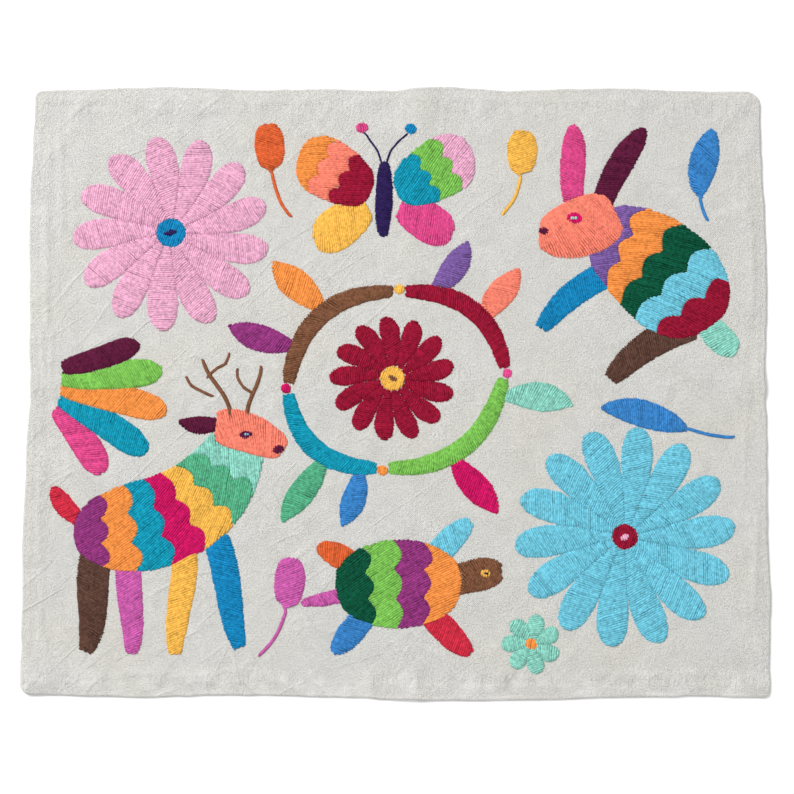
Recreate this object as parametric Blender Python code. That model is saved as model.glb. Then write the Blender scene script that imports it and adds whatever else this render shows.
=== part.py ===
"""An embroidered cotton cloth, lying flat with its worked face up.

One hemmed sheet of plain cotton carries raised areas of satin stitch in many colours.
The sheet is one solid with its hem, its soft folds and its wrinkled margins.
Each area of yarn is one low pad on it, with a crown along its middle, a groove
between petals and between bands, and the outline of the worked motif.
Table values are millimetres and degrees, from the middle of the cloth: +X is the
right of the picture and +Y is its top. The mesh is in metres.
"""
import math
from collections import namedtuple

import bpy

MM = 0.001

# The sheet
CLOTH_WIDTH = 460.0
CLOTH_LENGTH = 380.0
CLOTH_THICK = 1.0
HEM_X = 6.0
HEM_Y = 10.0
HEM_RISE = 0.6
HEM_ROLL = 1.5
MARGIN_LINES = (10.0, 14.5, 20.0, 26.0)
INNER_CELL = 17.0
BULGE_FADE = 45.0

# The embroidery
GAP = 0.3
PAD_EDGE = 0.5
PAD_CROWN = 1.15
GROOVE = 0.55
END_SHARE = 0.25
END_DROP = 0.5
STALK_WIDTH = 3.2
THIN_BLADE = 10.0
BLADE_ACROSS = (0.0, 0.25, 0.75, 1.0)
THIN_ACROSS = (0.0, 0.5, 1.0)
BLADE_PITCH = 9.0
BLADE_LEAST_STEPS = 5
END_TURN = 0.3
SCALLOP_COLUMNS = 4
PETAL_PLACES = (-1.0, -0.86, -0.5, 0.0, 0.5, 0.86)
PETAL_ROWS = (0.0, 0.35, 0.75, 1.0)
PETAL_FULL = 2.1
PETAL_ROOT = 0.1
DISC_SIDES = 16
DISC_SHARES = (0.55, 1.0)
CUTTER_DEPTH = 6.0
SMOOTH_ANGLE = 40.0

# Colours, sRGB
COTTON = (216, 215, 210)
YARNS = {
    "sky": (111, 195, 216), "pink": (226, 168, 196), "crimson": (150, 18, 50),
    "brown": (126, 84, 60), "dark_brown": (92, 64, 54), "lime": (124, 190, 84),
    "mint": (139, 206, 190), "jade": (85, 172, 132), "purple": (146, 54, 124),
    "orchid": (198, 92, 168), "hot_pink": (216, 72, 136), "raspberry": (200, 10, 95),
    "orange": (238, 145, 68), "rust": (214, 96, 48), "yellow": (238, 182, 78),
    "blue": (14, 131, 184), "teal": (10, 150, 178), "cornflower": (56, 130, 196),
    "plum": (93, 27, 58), "salmon": (240, 130, 108), "lavender": (124, 92, 160),
    "navy": (46, 32, 84), "forest": (12, 84, 60), "red": (205, 42, 66),
}

# How far each side swings out of the straight: where along it, half length, amount
Bulge = namedtuple("Bulge", "side at reach out")
BULGES = [
    Bulge("left", 112, 70, 1.8),
    Bulge("left", -4, 40, -1.7),
    Bulge("left", -98, 55, 0.9),
    Bulge("right", 78, 95, 2.4),
    Bulge("right", -30, 45, 0.8),
    Bulge("right", -132, 45, 1.3),
    Bulge("top", -148, 75, 2.2),
    Bulge("top", -48, 50, 1.2),
    Bulge("top", 32, 45, 2.6),
    Bulge("top", 132, 75, 1.9),
    Bulge("bottom", -160, 60, 1.5),
    Bulge("bottom", 42, 125, 2.7),
    Bulge("bottom", 190, 30, -0.8),
]

# How round each corner is
Corner = namedtuple("Corner", "east north radius")
CORNERS = [
    Corner(False, True, 5.5),
    Corner(True, True, 9.5),
    Corner(False, False, 6.5),
    Corner(True, False, 4.5),
]

# Folds and wrinkles: soft ridges from start to end, with half width and height
Fold = namedtuple("Fold", "start end reach rise")
FOLDS = [
    Fold((17, 222), (14, 152), 16, 1.8),
    Fold((14, 200), (9, -70), 27, 0.7),
    Fold((8, -60), (10, -205), 27, 0.5),
    Fold((9, -168), (11, -222), 16, 1.0),
    Fold((-266, 3), (-197, 0), 13, 1.8),
    Fold((-230, 0), (230, 4), 27, 0.5),
    Fold((200, 5), (266, 2), 14, 1.3),
    Fold((-221, 165), (-218, 20), 5, 0.5),
    Fold((-213, 178), (-211, 70), 5, 0.35),
    Fold((-217, -20), (-221, -120), 5.5, 0.5),
    Fold((221, 175), (223, 30), 6, 0.6),
    Fold((221, -70), (224, -180), 6, 0.6),
    Fold((-200, 181), (-70, 178), 7, 0.5),
    Fold((60, 179), (190, 182), 7, 0.5),
    Fold((-190, -176), (-60, -180), 7, 0.7),
    Fold((70, -180), (200, -177), 7, 0.7),
    Fold((-236, -196), (-204, -164), 20, 1.3),
    Fold((-236, 120), (-196, 178), 8, 0.5),
]

# Lone areas. bow_a and bow_b: how far the midline swings out at a third and at two
# thirds of its way. base, tip: share of the width left at the ends. belly: where it is
# widest. edge: 0.5 for round ends, 1 for pointed ones. stalk: share that is stalk.
# under: the area that this one stops at.
Blade = namedtuple(
    "Blade",
    "name yarn start end bow_a bow_b width base tip belly edge stalk under",
)
BLADES = [
    # A wreath of four arcs, and its leaves
    Blade("wreath_brown", "brown", (-67, 3), (-2, 61), 25, 25, 12, 0.5, 0.5, 0.5, 0.5, 0, ""),
    Blade("wreath_crimson", "crimson", (6, 61), (68, 13), 21, 23, 12, 0.5, 0.5, 0.5, 0.5, 0, ""),
    Blade("wreath_lime", "lime", (67, 6), (-4, -50), 24, 25, 12, 0.5, 0.5, 0.5, 0.5, 0, ""),
    Blade("wreath_teal", "teal", (-12, -50), (-67, -4), 20, 21, 12, 0.5, 0.5, 0.5, 0.5, 0, ""),
    Blade("leaf_nw", "orange", (-46, 48), (-77, 80), -3, 3, 19, 0.15, 0.06, 0.55, 0.9, 0,
          "wreath_brown"),
    Blade("leaf_w", "purple", (-62, 27), (-105, 39), 4, 2, 17, 0.15, 0.06, 0.55, 0.9, 0,
          "wreath_brown"),
    Blade("leaf_n", "lavender", (22, 61), (45, 93), -4, -4, 16, 0.15, 0.06, 0.55, 0.9, 0,
          "wreath_crimson"),
    Blade("leaf_ne", "salmon", (54, 41), (77, 76), 4, -2, 17, 0.15, 0.06, 0.55, 0.9, 0,
          "wreath_crimson"),
    Blade("leaf_e", "mint", (67, -6), (110, -10), 4, 4, 18, 0.15, 0.06, 0.55, 0.9, 0,
          "wreath_lime"),
    Blade("leaf_se", "raspberry", (36, -42), (63, -78), -4, 2, 17, 0.15, 0.06, 0.55, 0.9, 0,
          "wreath_lime"),
    Blade("leaf_s", "cornflower", (-22, -50), (-33, -86), 3, 3, 15, 0.15, 0.06, 0.55, 0.9, 0,
          "wreath_teal"),
    Blade("leaf_sw", "jade", (-44, -42), (-70, -84), 4, -2, 16, 0.15, 0.06, 0.55, 0.9, 0,
          "wreath_teal"),
    # A fan at the left, each blade tucked under the one before it
    Blade("fan_plum", "plum", (-209, 12), (-161, 28), -2, -2, 15, 0.45, 0.1, 0.72, 0.5, 0, ""),
    Blade("fan_lime", "lime", (-209, 5), (-146, 10), 0, 0, 18, 0.4, 0.1, 0.72, 0.5, 0, "fan_plum"),
    Blade("fan_orange", "orange", (-209, -1), (-143, -15), 2, 1, 18, 0.4, 0.1, 0.72, 0.5, 0,
          "fan_lime"),
    Blade("fan_teal", "teal", (-210, -7), (-155, -41), 3, 2, 18, 0.4, 0.1, 0.72, 0.5, 0,
          "fan_orange"),
    Blade("fan_pink", "hot_pink", (-212, -13), (-182, -54), 3, 2, 18, 0.4, 0.1, 0.72, 0.5, 0,
          "fan_teal"),
    # The deer
    Blade("deer_head", "salmon", (-112, -24), (-70, -39), 4, 3, 25, 0.6, 0.35, 0.3, 0.5, 0, ""),
    Blade("deer_ear", "plum", (-108, -22), (-135, -21), 3, 3, 11, 0.4, 0.1, 0.5, 0.8, 0,
          "deer_head"),
    Blade("deer_antler_a", "brown", (-103, -22), (-121, 18), -9, 3, 5, 1, 0.5, 0.1, 0.5, 0,
          "deer_head"),
    Blade("deer_antler_b", "brown", (-92, -24), (-84, 14), 7, -3, 5, 1, 0.5, 0.1, 0.5, 0,
          "deer_head"),
    Blade("deer_leg_a", "dark_brown", (-183, -98), (-190, -164), -6, 6, 20, 0.9, 0.35, 0.2, 0.6, 0,
          "deer_body"),
    Blade("deer_leg_b", "orchid", (-164, -104), (-162, -165), -4, 4, 16, 0.9, 0.4, 0.2, 0.6, 0,
          "deer_body"),
    Blade("deer_leg_c", "yellow", (-130, -102), (-135, -165), 3, -3, 16, 0.9, 0.4, 0.2, 0.6, 0,
          "deer_body"),
    Blade("deer_leg_d", "blue", (-111, -94), (-95, -161), 4, -3, 17, 0.9, 0.4, 0.2, 0.6, 0,
          "deer_body"),
    Blade("deer_tail", "red", (-194, -84), (-213, -62), 3, 3, 12, 0.5, 0.12, 0.55, 0.7, 0,
          "deer_body"),
    # The rabbit
    Blade("rabbit_head", "salmon", (138, 112), (90, 98), 3, 6, 38, 0.45, 0.3, 0.38, 0.5, 0, ""),
    Blade("rabbit_ear_a", "plum", (128, 112), (157, 166), 5, 3, 16, 0.6, 0.12, 0.6, 0.6, 0,
          "rabbit_head"),
    Blade("rabbit_ear_b", "hot_pink", (113, 114), (111, 168), 5, -3, 16, 0.6, 0.12, 0.6, 0.6, 0,
          "rabbit_head"),
    Blade("rabbit_foreleg", "blue", (134, 73), (91, 38), -6, -5, 17, 0.9, 0.45, 0.2, 0.6, 0,
          "rabbit_body"),
    Blade("rabbit_foot", "dark_brown", (186, 40), (134, 6), -7, -6, 19, 0.9, 0.45, 0.2, 0.6, 0,
          "rabbit_body"),
    Blade("rabbit_tail", "mint", (194, 42), (213, 24), -2, -2, 18, 0.6, 0.25, 0.55, 0.5, 0,
          "rabbit_body"),
    # The butterfly
    Blade("butterfly_body", "navy", (-8, 96), (-8, 144), 1, -1, 11, 0.3, 0.3, 0.5, 0.6, 0, ""),
    Blade("wing_low_l", "yellow", (-18, 115), (-51, 92), -2, 2, 27, 0.4, 0.2, 0.62, 0.5, 0,
          "wing_up_l"),
    Blade("wing_low_r", "hot_pink", (2, 115), (35, 97), 2, -2, 25, 0.4, 0.2, 0.62, 0.5, 0,
          "wing_up_r"),
    # The turtle
    Blade("turtle_head", "brown", (30, -122), (66, -114), 2, 2, 20, 0.7, 0.35, 0.62, 0.5, 0,
          "turtle_shell"),
    Blade("flipper_a", "sky", (18, -110), (47, -83), -2, 2, 16, 0.7, 0.2, 0.5, 0.6, 0,
          "turtle_shell"),
    Blade("flipper_b", "red", (18, -138), (47, -164), 2, -2, 16, 0.7, 0.2, 0.5, 0.6, 0,
          "turtle_shell"),
    Blade("flipper_c", "rust", (-18, -112), (-48, -99), 2, -2, 15, 0.7, 0.2, 0.5, 0.6, 0,
          "turtle_shell"),
    Blade("flipper_d", "cornflower", (-14, -138), (-38, -163), -2, 2, 16, 0.7, 0.2, 0.5, 0.6, 0,
          "turtle_shell"),
    Blade("turtle_tail", "orchid", (-28, -126), (-58, -134), 3, 0, 9, 0.8, 0.15, 0.3, 0.6, 0,
          "turtle_shell"),
    # Leaves and buds on stalks
    Blade("leaf_east", "cornflower", (211, -30), (128, -12), 7, -8, 17, 0.2, 0.06, 0.5, 0.8, 0.36,
          ""),
    Blade("leaf_high", "cornflower", (196, 106), (200, 166), 12, 4, 18, 0.2, 0.06, 0.5, 0.8, 0.27, ""),
    Blade("bud_tr", "yellow", (66, 110), (80, 164), -12, -3, 19, 0.35, 0.3, 0.55, 0.5, 0.52, ""),
    Blade("bud_tl", "rust", (-66, 108), (-82, 168), 11, 2, 19, 0.35, 0.3, 0.55, 0.5, 0.54, ""),
    Blade("bud_bl", "orchid", (-84, -166), (-64, -106), -14, -5, 19, 0.35, 0.3, 0.55, 0.5, 0.54, ""),
]

# Banded areas: yarns in order along the midline, scallops across, how deep they swing,
# and where each band ends
Banded = namedtuple("Banded", "blade yarns scallops depth cuts")
BODIES = [
    Banded(
        Blade("deer_body", "teal", (-199, -90), (-97, -30), -24, -37, 56, 0.14, 0.42, 0.36, 0.5, 0,
              "deer_head"),
        ["purple", "orange", "teal", "raspberry", "yellow", "jade", "mint"],
        3, 0.04, [0, 0.14, 0.28, 0.42, 0.56, 0.70, 0.84, 1]),
    Banded(
        Blade("rabbit_body", "forest", (195, 38), (124, 96), -10, -16, 66, 0.14, 0.35, 0.4, 0.5, 0,
              "rabbit_head"),
        ["crimson", "sky", "forest", "orange", "lavender"],
        3, 0.06, [0, 0.2, 0.4, 0.6, 0.8, 1]),
    Banded(
        Blade("turtle_shell", "lime", (-36, -126), (41, -123), 4, 4, 54, 0.14, 0.14, 0.5, 0.5, 0, ""),
        ["forest", "lime", "purple", "orange"],
        3, 0.06, [0, 0.27, 0.5, 0.73, 1]),
    Banded(
        Blade("wing_up_l", "crimson", (-16, 125), (-62, 148), 2, -3, 38, 0.25, 0.2, 0.65, 0.5, 0, ""),
        ["crimson", "salmon", "orange"],
        3, 0.08, [0, 0.4, 0.7, 1]),
    Banded(
        Blade("wing_up_r", "teal", (0, 125), (48, 150), -2, 3, 38, 0.25, 0.2, 0.65, 0.5, 0, ""),
        ["teal", "lime", "pink"],
        3, 0.08, [0, 0.4, 0.7, 1]),
]

# Flowers: core and notch are where the petals start and where they part; twist is how
# far a petal leans on its way out, in degrees
Flower = namedtuple("Flower", "name yarn centre petals core notch radius turn twist")
FLOWERS = [
    Flower("flower_pink", "pink", (-142, 98), 13, 9.6, 29, 62, 10, 7),
    Flower("flower_sky", "sky", (142, -92), 14, 8.2, 31, 68, 0, 5),
    Flower("flower_mint", "mint", (84, -158), 7, 3.6, 8.5, 18, 22, 4),
    Flower("flower_crimson", "crimson", (-2, 6), 13, 8.2, 19, 39, 5, 8),
]

Disc = namedtuple("Disc", "name yarn centre radius")
DISCS = [
    Disc("eye_pink", "blue", (-142, 98), 9.0),
    Disc("eye_sky", "crimson", (142, -92), 7.6),
    Disc("eye_crimson", "yellow", (-2, 6), 7.6),
]


def swell(off, reach):
    """A soft bump: 1 in the middle, 0 at reach."""
    if abs(off) >= reach:
        return 0.0
    return 0.5 * (1 + math.cos(math.pi * off / reach))


def lift(x, y):
    """How far the folds raise the sheet at a place."""
    total = 0.0
    for fold in FOLDS:
        (x0, y0), (x1, y1) = fold.start, fold.end
        length = math.hypot(x1 - x0, y1 - y0)
        ux, uy = (x1 - x0) / length, (y1 - y0) / length
        along = (x - x0) * ux + (y - y0) * uy
        across = (y - y0) * ux - (x - x0) * uy
        beside = swell(across, fold.reach)
        if beside and 0 < along < length:
            total += fold.rise * beside * math.sin(math.pi * along / length)
    return total


def swing(side, at):
    """How far a side stands out of the straight."""
    return sum(b.out * swell(at - b.at, b.reach) for b in BULGES if b.side == side)


def on_cloth(x, y):
    """Move a place on the plain rectangle to its place on the uneven cloth."""
    half_x, half_y = CLOTH_WIDTH / 2, CLOTH_LENGTH / 2
    radius = next(c.radius for c in CORNERS if c.east == (x > 0) and c.north == (y > 0))
    inner_x, inner_y = half_x - radius, half_y - radius
    new_x, new_y = x, y
    if abs(x) > inner_x and abs(y) > inner_y:
        u, v = (abs(x) - inner_x) / radius, (abs(y) - inner_y) / radius
        new_x = math.copysign(inner_x + radius * u * math.sqrt(1 - v * v / 2), x)
        new_y = math.copysign(inner_y + radius * v * math.sqrt(1 - u * u / 2), y)
    near_x = max(0.0, 1 - (half_x - abs(x)) / BULGE_FADE)
    near_y = max(0.0, 1 - (half_y - abs(y)) / BULGE_FADE)
    new_x += near_x * (swing("right", y) if x > 0 else -swing("left", y))
    new_y += near_y * (swing("top", x) if y > 0 else -swing("bottom", x))
    return new_x, new_y


def grid_lines(half, hem):
    """Lines across the sheet: close together at the hem, even inside."""
    margin = sorted({0.0, HEM_ROLL, hem - HEM_ROLL, hem, *MARGIN_LINES})
    inner = half - margin[-1]
    cells = math.ceil(2 * inner / INNER_CELL)
    low = [-half + m for m in margin]
    middle = [-inner + 2 * inner * k / cells for k in range(1, cells)]
    return low + middle + [half - m for m in reversed(margin)]


LINES_X = grid_lines(CLOTH_WIDTH / 2, HEM_X)
LINES_Y = grid_lines(CLOTH_LENGTH / 2, HEM_Y)


def box_middle():
    """Middle of the uneven cloth's box, which goes to x = y = 0."""
    rim = [on_cloth(x, y) for x in LINES_X for y in (LINES_Y[0], LINES_Y[-1])]
    rim += [on_cloth(x, y) for x in (LINES_X[0], LINES_X[-1]) for y in LINES_Y]
    xs = [p[0] for p in rim]
    ys = [p[1] for p in rim]
    return (min(xs) + max(xs)) / 2, (min(ys) + max(ys)) / 2


MIDDLE_X, MIDDLE_Y = box_middle()


def hem_share(x, y):
    """1 on the doubled hem, less at its rolled outer edge, 0 inside."""
    from_x, from_y = CLOTH_WIDTH / 2 - abs(x), CLOTH_LENGTH / 2 - abs(y)
    doubled = max(HEM_X - from_x, HEM_Y - from_y)
    return max(0.0, min(1.0, doubled / HEM_ROLL, from_x / HEM_ROLL, from_y / HEM_ROLL))


def linear(part):
    """One sRGB colour value, 0 to 255, as linear light."""
    return part / 255 / 12.92 if part < 11 else ((part / 255 + 0.055) / 1.055) ** 2.4


def material(name, rgb, roughness):
    made = bpy.data.materials.new(name)
    made.use_nodes = True
    shader = made.node_tree.nodes["Principled BSDF"]
    shader.inputs["Base Color"].default_value = (*[linear(part) for part in rgb], 1.0)
    shader.inputs["Roughness"].default_value = roughness
    shader.inputs["Metallic"].default_value = 0.0
    return made


def solid_from_grid(name, grid, ring=False, filled=False):
    """A closed solid from rows of (x, y, under, top) points.

    The top faces +Z when the columns run to the left of the rows' way. A ring
    joins its last column to its first, and its middle is open or filled.
    """
    rows, columns = len(grid), len(grid[0])
    count = rows * columns
    points = [(x, y, top) for row in grid for x, y, under, top in row]
    points += [(x, y, under) for row in grid for x, y, under, top in row]
    points = [((x - MIDDLE_X) * MM, (y - MIDDLE_Y) * MM, z * MM) for x, y, z in points]

    steps = columns if ring else columns - 1
    beside = [(j, (j + 1) % columns) for j in range(steps)]
    starts = [i * columns for i in range(rows)]
    faces = []
    for this, after in zip(starts, starts[1:]):
        for j, k in beside:
            top = (this + j, after + j, after + k, this + k)
            faces.append(top)
            faces.append(tuple(corner + count for corner in reversed(top)))
    walls = [(starts[-1] + k, starts[-1] + j) for j, k in beside]
    if filled:
        faces.append(tuple(range(columns)))
        faces.append(tuple(reversed(range(count, count + columns))))
    else:
        walls += beside
    if not ring:
        walls += [(after, this) for this, after in zip(starts, starts[1:])]
        edge = columns - 1
        walls += [(this + edge, after + edge) for this, after in zip(starts, starts[1:])]
    faces += [(a, b, b + count, a + count) for a, b in walls]
    mesh = bpy.data.meshes.new(name)
    mesh.from_pydata(points, [], faces)
    mesh.validate()
    mesh.shade_smooth()
    mesh.set_sharp_from_angle(angle=math.radians(SMOOTH_ANGLE))
    made = bpy.data.objects.new(name, mesh)
    bpy.context.scene.collection.objects.link(made)
    return made


def pad_point(x, y, rise):
    """A pad's point: it lies a gap over the cloth and follows its folds."""
    ground = CLOTH_THICK + lift(x, y) + GAP
    return x, y, ground, ground + rise


def spine(row, s):
    """A place on a blade's midline, and the way to its left."""
    (x0, y0), (x1, y1) = row.start, row.end
    length = math.hypot(x1 - x0, y1 - y0)
    ux, uy = (x1 - x0) / length, (y1 - y0) / length
    ax, ay = x0 + (x1 - x0) / 3 - uy * row.bow_a, y0 + (y1 - y0) / 3 + ux * row.bow_a
    bx, by = x1 - (x1 - x0) / 3 - uy * row.bow_b, y1 - (y1 - y0) / 3 + ux * row.bow_b
    r = 1 - s
    x = r**3 * x0 + 3 * r * r * s * ax + 3 * r * s * s * bx + s**3 * x1
    y = r**3 * y0 + 3 * r * r * s * ay + 3 * r * s * s * by + s**3 * y1
    dx = r * r * (ax - x0) + 2 * r * s * (bx - ax) + s * s * (x1 - bx)
    dy = r * r * (ay - y0) + 2 * r * s * (by - ay) + s * s * (y1 - by)
    slope = math.hypot(dx, dy)
    return x, y, -dy / slope, dx / slope


def half_width(row, s):
    """Half of a blade's width, its stalk first."""
    if s < row.stalk:
        return STALK_WIDTH / 2
    s = (s - row.stalk) / (1 - row.stalk)
    if s < row.belly:
        left, off = row.base, (row.belly - s) / row.belly
    else:
        left, off = row.tip, (s - row.belly) / (1 - row.belly)
    return row.width / 2 * (left + (1 - left) * (1 - off * off) ** row.edge)


def blade_place(row, s, w, grow=0.0):
    """A place on a blade: s along it and w across it, both 0 to 1."""
    x, y, nx, ny = spine(row, s)
    reach = (half_width(row, s) + grow) * (2 * w - 1)
    ahead = grow * (2 * s - 1)
    return x + nx * reach + ny * ahead, y + ny * reach - nx * ahead


def blade_steps(row):
    """Steps along a blade from 0 to 1, closer together at its ends."""
    reach = math.hypot(row.end[0] - row.start[0], row.end[1] - row.start[1])
    steps = max(BLADE_LEAST_STEPS, round(reach / BLADE_PITCH))
    turns = [END_TURN + (math.pi - 2 * END_TURN) * k / steps for k in range(steps + 1)]
    return [0.5 - 0.5 * math.cos(t) / math.cos(END_TURN) for t in turns]


def crown(w, s):
    """Height of the yarn over the cloth: rounded across and at both ends."""
    across = math.sqrt(max(0.0, 1 - (2 * w - 1) ** 2))
    along = min(1.0, s / END_SHARE, (1 - s) / END_SHARE)
    return PAD_EDGE + (PAD_CROWN - PAD_EDGE) * across * (1 - END_DROP * (1 - along))


def blade_solid(row):
    across = THIN_ACROSS if row.width < THIN_BLADE else BLADE_ACROSS
    grid = []
    for s in blade_steps(row):
        grid.append([pad_point(*blade_place(row, s, w), crown(w, s)) for w in across])
    return solid_from_grid(row.name, grid)


def cut_at(body, k, w):
    """Where band k starts, which swings in scallops across the body."""
    s = body.cuts[k]
    if 0 < k < len(body.yarns):
        s += body.depth * (abs(math.sin(math.pi * body.scallops * w)) - 0.5)
    return s


def band_line(body, k, w):
    """Lines across a body: even ones between bands, odd ones along a band's middle."""
    return (cut_at(body, k // 2, w) + cut_at(body, (k + 1) // 2, w)) / 2


def band_steps(body):
    """Where a body's lines meet its sides."""
    return [band_line(body, k, 0) for k in range(2 * len(body.yarns) + 1)]


def body_solid(body):
    columns = SCALLOP_COLUMNS * body.scallops
    grid = []
    for k in range(2 * len(body.yarns) + 1):
        row = []
        for j in range(columns + 1):
            w = j / columns
            s = band_line(body, k, w)
            rise = crown(w, s) - (GROOVE if k % 2 == 0 else 0) * math.sin(math.pi * w)
            row.append(pad_point(*blade_place(body.blade, s, w), rise))
        grid.append(row)
    return solid_from_grid(body.blade.name, grid)


def petal_reach(f, off):
    """How far out a petal goes at a share of its half width, from -1 to 1."""
    return f.notch + (f.radius - f.notch) * math.sqrt(1 - abs(off) ** PETAL_FULL)


def flower_place(f, petal, rho, off):
    """A place on a petal: rho from the middle, off from its midline."""
    lean = f.twist * (rho - f.core) / (f.radius - f.core)
    angle = math.radians(f.turn + 360 / f.petals * (petal + off / 2) + lean)
    return f.centre[0] + rho * math.cos(angle), f.centre[1] + rho * math.sin(angle)


def flower_solid(f):
    """Petals round a core, joined as far as the notch between them."""
    grid = []
    for t in PETAL_ROWS:
        row = []
        for petal in range(f.petals):
            for off in PETAL_PLACES:
                rho = f.core + (petal_reach(f, off) - f.core) * t
                x, y = flower_place(f, petal, rho, off)
                row.append(pad_point(x, y, crown(0.5 + off / 2, PETAL_ROOT + (1 - PETAL_ROOT) * t)))
        grid.append(row)
    return solid_from_grid(f.name, grid, ring=True)


def disc_solid(disc):
    grid = []
    for share in DISC_SHARES:
        row = []
        for k in range(DISC_SIDES):
            angle = 2 * math.pi * k / DISC_SIDES
            x = disc.centre[0] + disc.radius * share * math.cos(angle)
            y = disc.centre[1] + disc.radius * share * math.sin(angle)
            row.append(pad_point(x, y, crown(0.5 + share / 2, 0.5)))
        grid.append(row)
    return solid_from_grid(disc.name, grid, ring=True, filled=True)


def cutter(row, steps):
    """A tall block of a blade's outline, a gap larger all round."""
    grid = []
    for s in steps:
        places = [blade_place(row, s, w, GAP) for w in (0.0, 0.5, 1.0)]
        grid.append([(x, y, -CUTTER_DEPTH, CUTTER_DEPTH) for x, y in places])
    made = solid_from_grid("cut_" + row.name, grid)
    made.hide_render = True
    made.display_type = "WIRE"
    return made


def trim(made, tool):
    """Stop an area at its neighbour's outline."""
    cut = made.modifiers.new("trim", "BOOLEAN")
    cut.operation = "DIFFERENCE"
    cut.solver = "EXACT"
    cut.object = tool


def cloth_solid():
    grid = []
    for x in LINES_X:
        row = []
        for y in LINES_Y:
            px, py = on_cloth(x, y)
            up = lift(px, py)
            row.append((px, py, up, up + CLOTH_THICK + HEM_RISE * hem_share(x, y)))
        grid.append(row)
    return solid_from_grid("cloth", grid)


def build():
    for old in list(bpy.data.objects):
        bpy.data.objects.remove(old, do_unlink=True)
    cotton = material("cotton", COTTON, 0.95)
    yarns = {name: material("yarn_" + name, rgb, 0.6) for name, rgb in YARNS.items()}

    cloth = cloth_solid()
    cloth.data.materials.append(cotton)
    rows = BLADES + [body.blade for body in BODIES]
    made = {row.name: blade_solid(row) for row in BLADES}
    made.update({body.blade.name: body_solid(body) for body in BODIES})
    steps = {row.name: blade_steps(row) for row in BLADES}
    steps.update({body.blade.name: band_steps(body) for body in BODIES})
    over = {row.under for row in rows}
    tools = {row.name: cutter(row, steps[row.name]) for row in rows if row.name in over}
    for row in rows:
        made[row.name].data.materials.append(yarns[row.yarn])
        if row.under:
            trim(made[row.name], tools[row.under])
    for flower in FLOWERS:
        flower_solid(flower).data.materials.append(yarns[flower.yarn])
    for disc in DISCS:
        disc_solid(disc).data.materials.append(yarns[disc.yarn])


build()
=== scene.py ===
"""The finish of an embroidered cotton cloth: its weave, wrinkles and every stitch.

The tables of motifs, folds and sides are those of the cloth's construction, in
millimetres from the middle of the plain cloth, +X right and +Y up in the picture.
A height field holds the folds and the fine wrinkles. The sheet and the stitches
both lie on it. Each stitch is a low half-round strand of yarn from hole to hole.
"""

import math
from collections import namedtuple

import bpy
import numpy as np
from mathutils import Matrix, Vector


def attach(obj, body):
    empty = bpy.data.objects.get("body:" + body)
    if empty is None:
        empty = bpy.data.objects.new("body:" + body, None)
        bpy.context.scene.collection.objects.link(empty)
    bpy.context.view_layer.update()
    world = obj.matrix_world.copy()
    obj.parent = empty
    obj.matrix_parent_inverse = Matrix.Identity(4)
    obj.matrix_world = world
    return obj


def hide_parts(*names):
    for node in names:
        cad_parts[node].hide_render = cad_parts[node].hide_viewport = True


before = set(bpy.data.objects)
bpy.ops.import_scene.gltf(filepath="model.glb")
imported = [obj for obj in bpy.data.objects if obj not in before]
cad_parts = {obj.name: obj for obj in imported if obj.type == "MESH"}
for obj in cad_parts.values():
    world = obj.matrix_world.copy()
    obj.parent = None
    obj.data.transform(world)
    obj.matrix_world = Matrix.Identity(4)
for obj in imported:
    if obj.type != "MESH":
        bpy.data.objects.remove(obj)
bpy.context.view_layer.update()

MM = 0.001

# The sheet
CLOTH_WIDTH = 460.0
CLOTH_LENGTH = 380.0
HALF_X = CLOTH_WIDTH / 2
HALF_Y = CLOTH_LENGTH / 2
SHEET_THICK = 0.7
HEM_X = 6.0
HEM_Y = 10.0
HEM_RISE = 0.4
HEM_SLOPE = 2.6
HEM_WANDER = 0.8
HEM_DIP = 0.14
BULGE_FADE = 45.0
RIM_STEPS = (0, 0.2, 0.5, 0.9, 1.4, 2.1, 3.0, 4.0, 5.1, 6.3, 7.5, 8.7, 9.9, 11.1, 12.4, 13.8)
RIM_REACH = 0.8
RIM_THIN = 0.3
FRAY = 0.4
FRAY_CELL = 9.0
FRAY_REACH = 14.0
INNER_CELL = 1.55
UNDER_STRIDE = 4

# The height field
FIELD_STEP = 0.8
FIELD_X = 242.0
FIELD_Y = 202.0
FIELD_FLOOR = 0.04
REST = 0.35
PUCKER = 0.65
PUCKER_CELL = 4.2
PUCKER_FADE = 10.0
DRAWN_DOWN = 0.12
SEWN_REACH = 3.0
CRUMPLES = ((26.0, 0.22), (10.0, 0.10), (5.0, 0.03))
Crease = namedtuple("Crease", "cell shrink_x shrink_y turn width rise seed")
CREASES = [
    Crease(34.0, 0.8, 1.2, 10, 1.4, 0.34, 11),
    Crease(24.0, 0.5, 1.7, 35, 1.2, 0.30, 12),
    Crease(20.0, 1.7, 0.5, 20, 1.2, 0.26, 15),
    Crease(13.0, 0.8, 1.2, 50, 1.1, 0.13, 16),
]
# Upright folds down the two margins: where, how far they reach, and how strong
UPRIGHTS = ((-213.0, 13.0, 1.0), (219.0, 9.0, 0.45))
UPRIGHT_CREASE = Crease(15.0, 3.0, 0.5, 0, 1.3, 0.5, 13)
UPRIGHT_RIPPLE = 0.3
HemPucker = namedtuple("HemPucker", "rise stretch shift cell seed reach")
HEM_PUCKERS = [HemPucker(0.7, 0.7, 90, 8.5, 3, 7.0), HemPucker(0.5, 0.4, 60, 3.8, 4, 5.0)]
PUCKERED_SIDE = 0.55
PUCKERED_TOP = 0.7
PUCKERED_BOTTOM = 1.2

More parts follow.
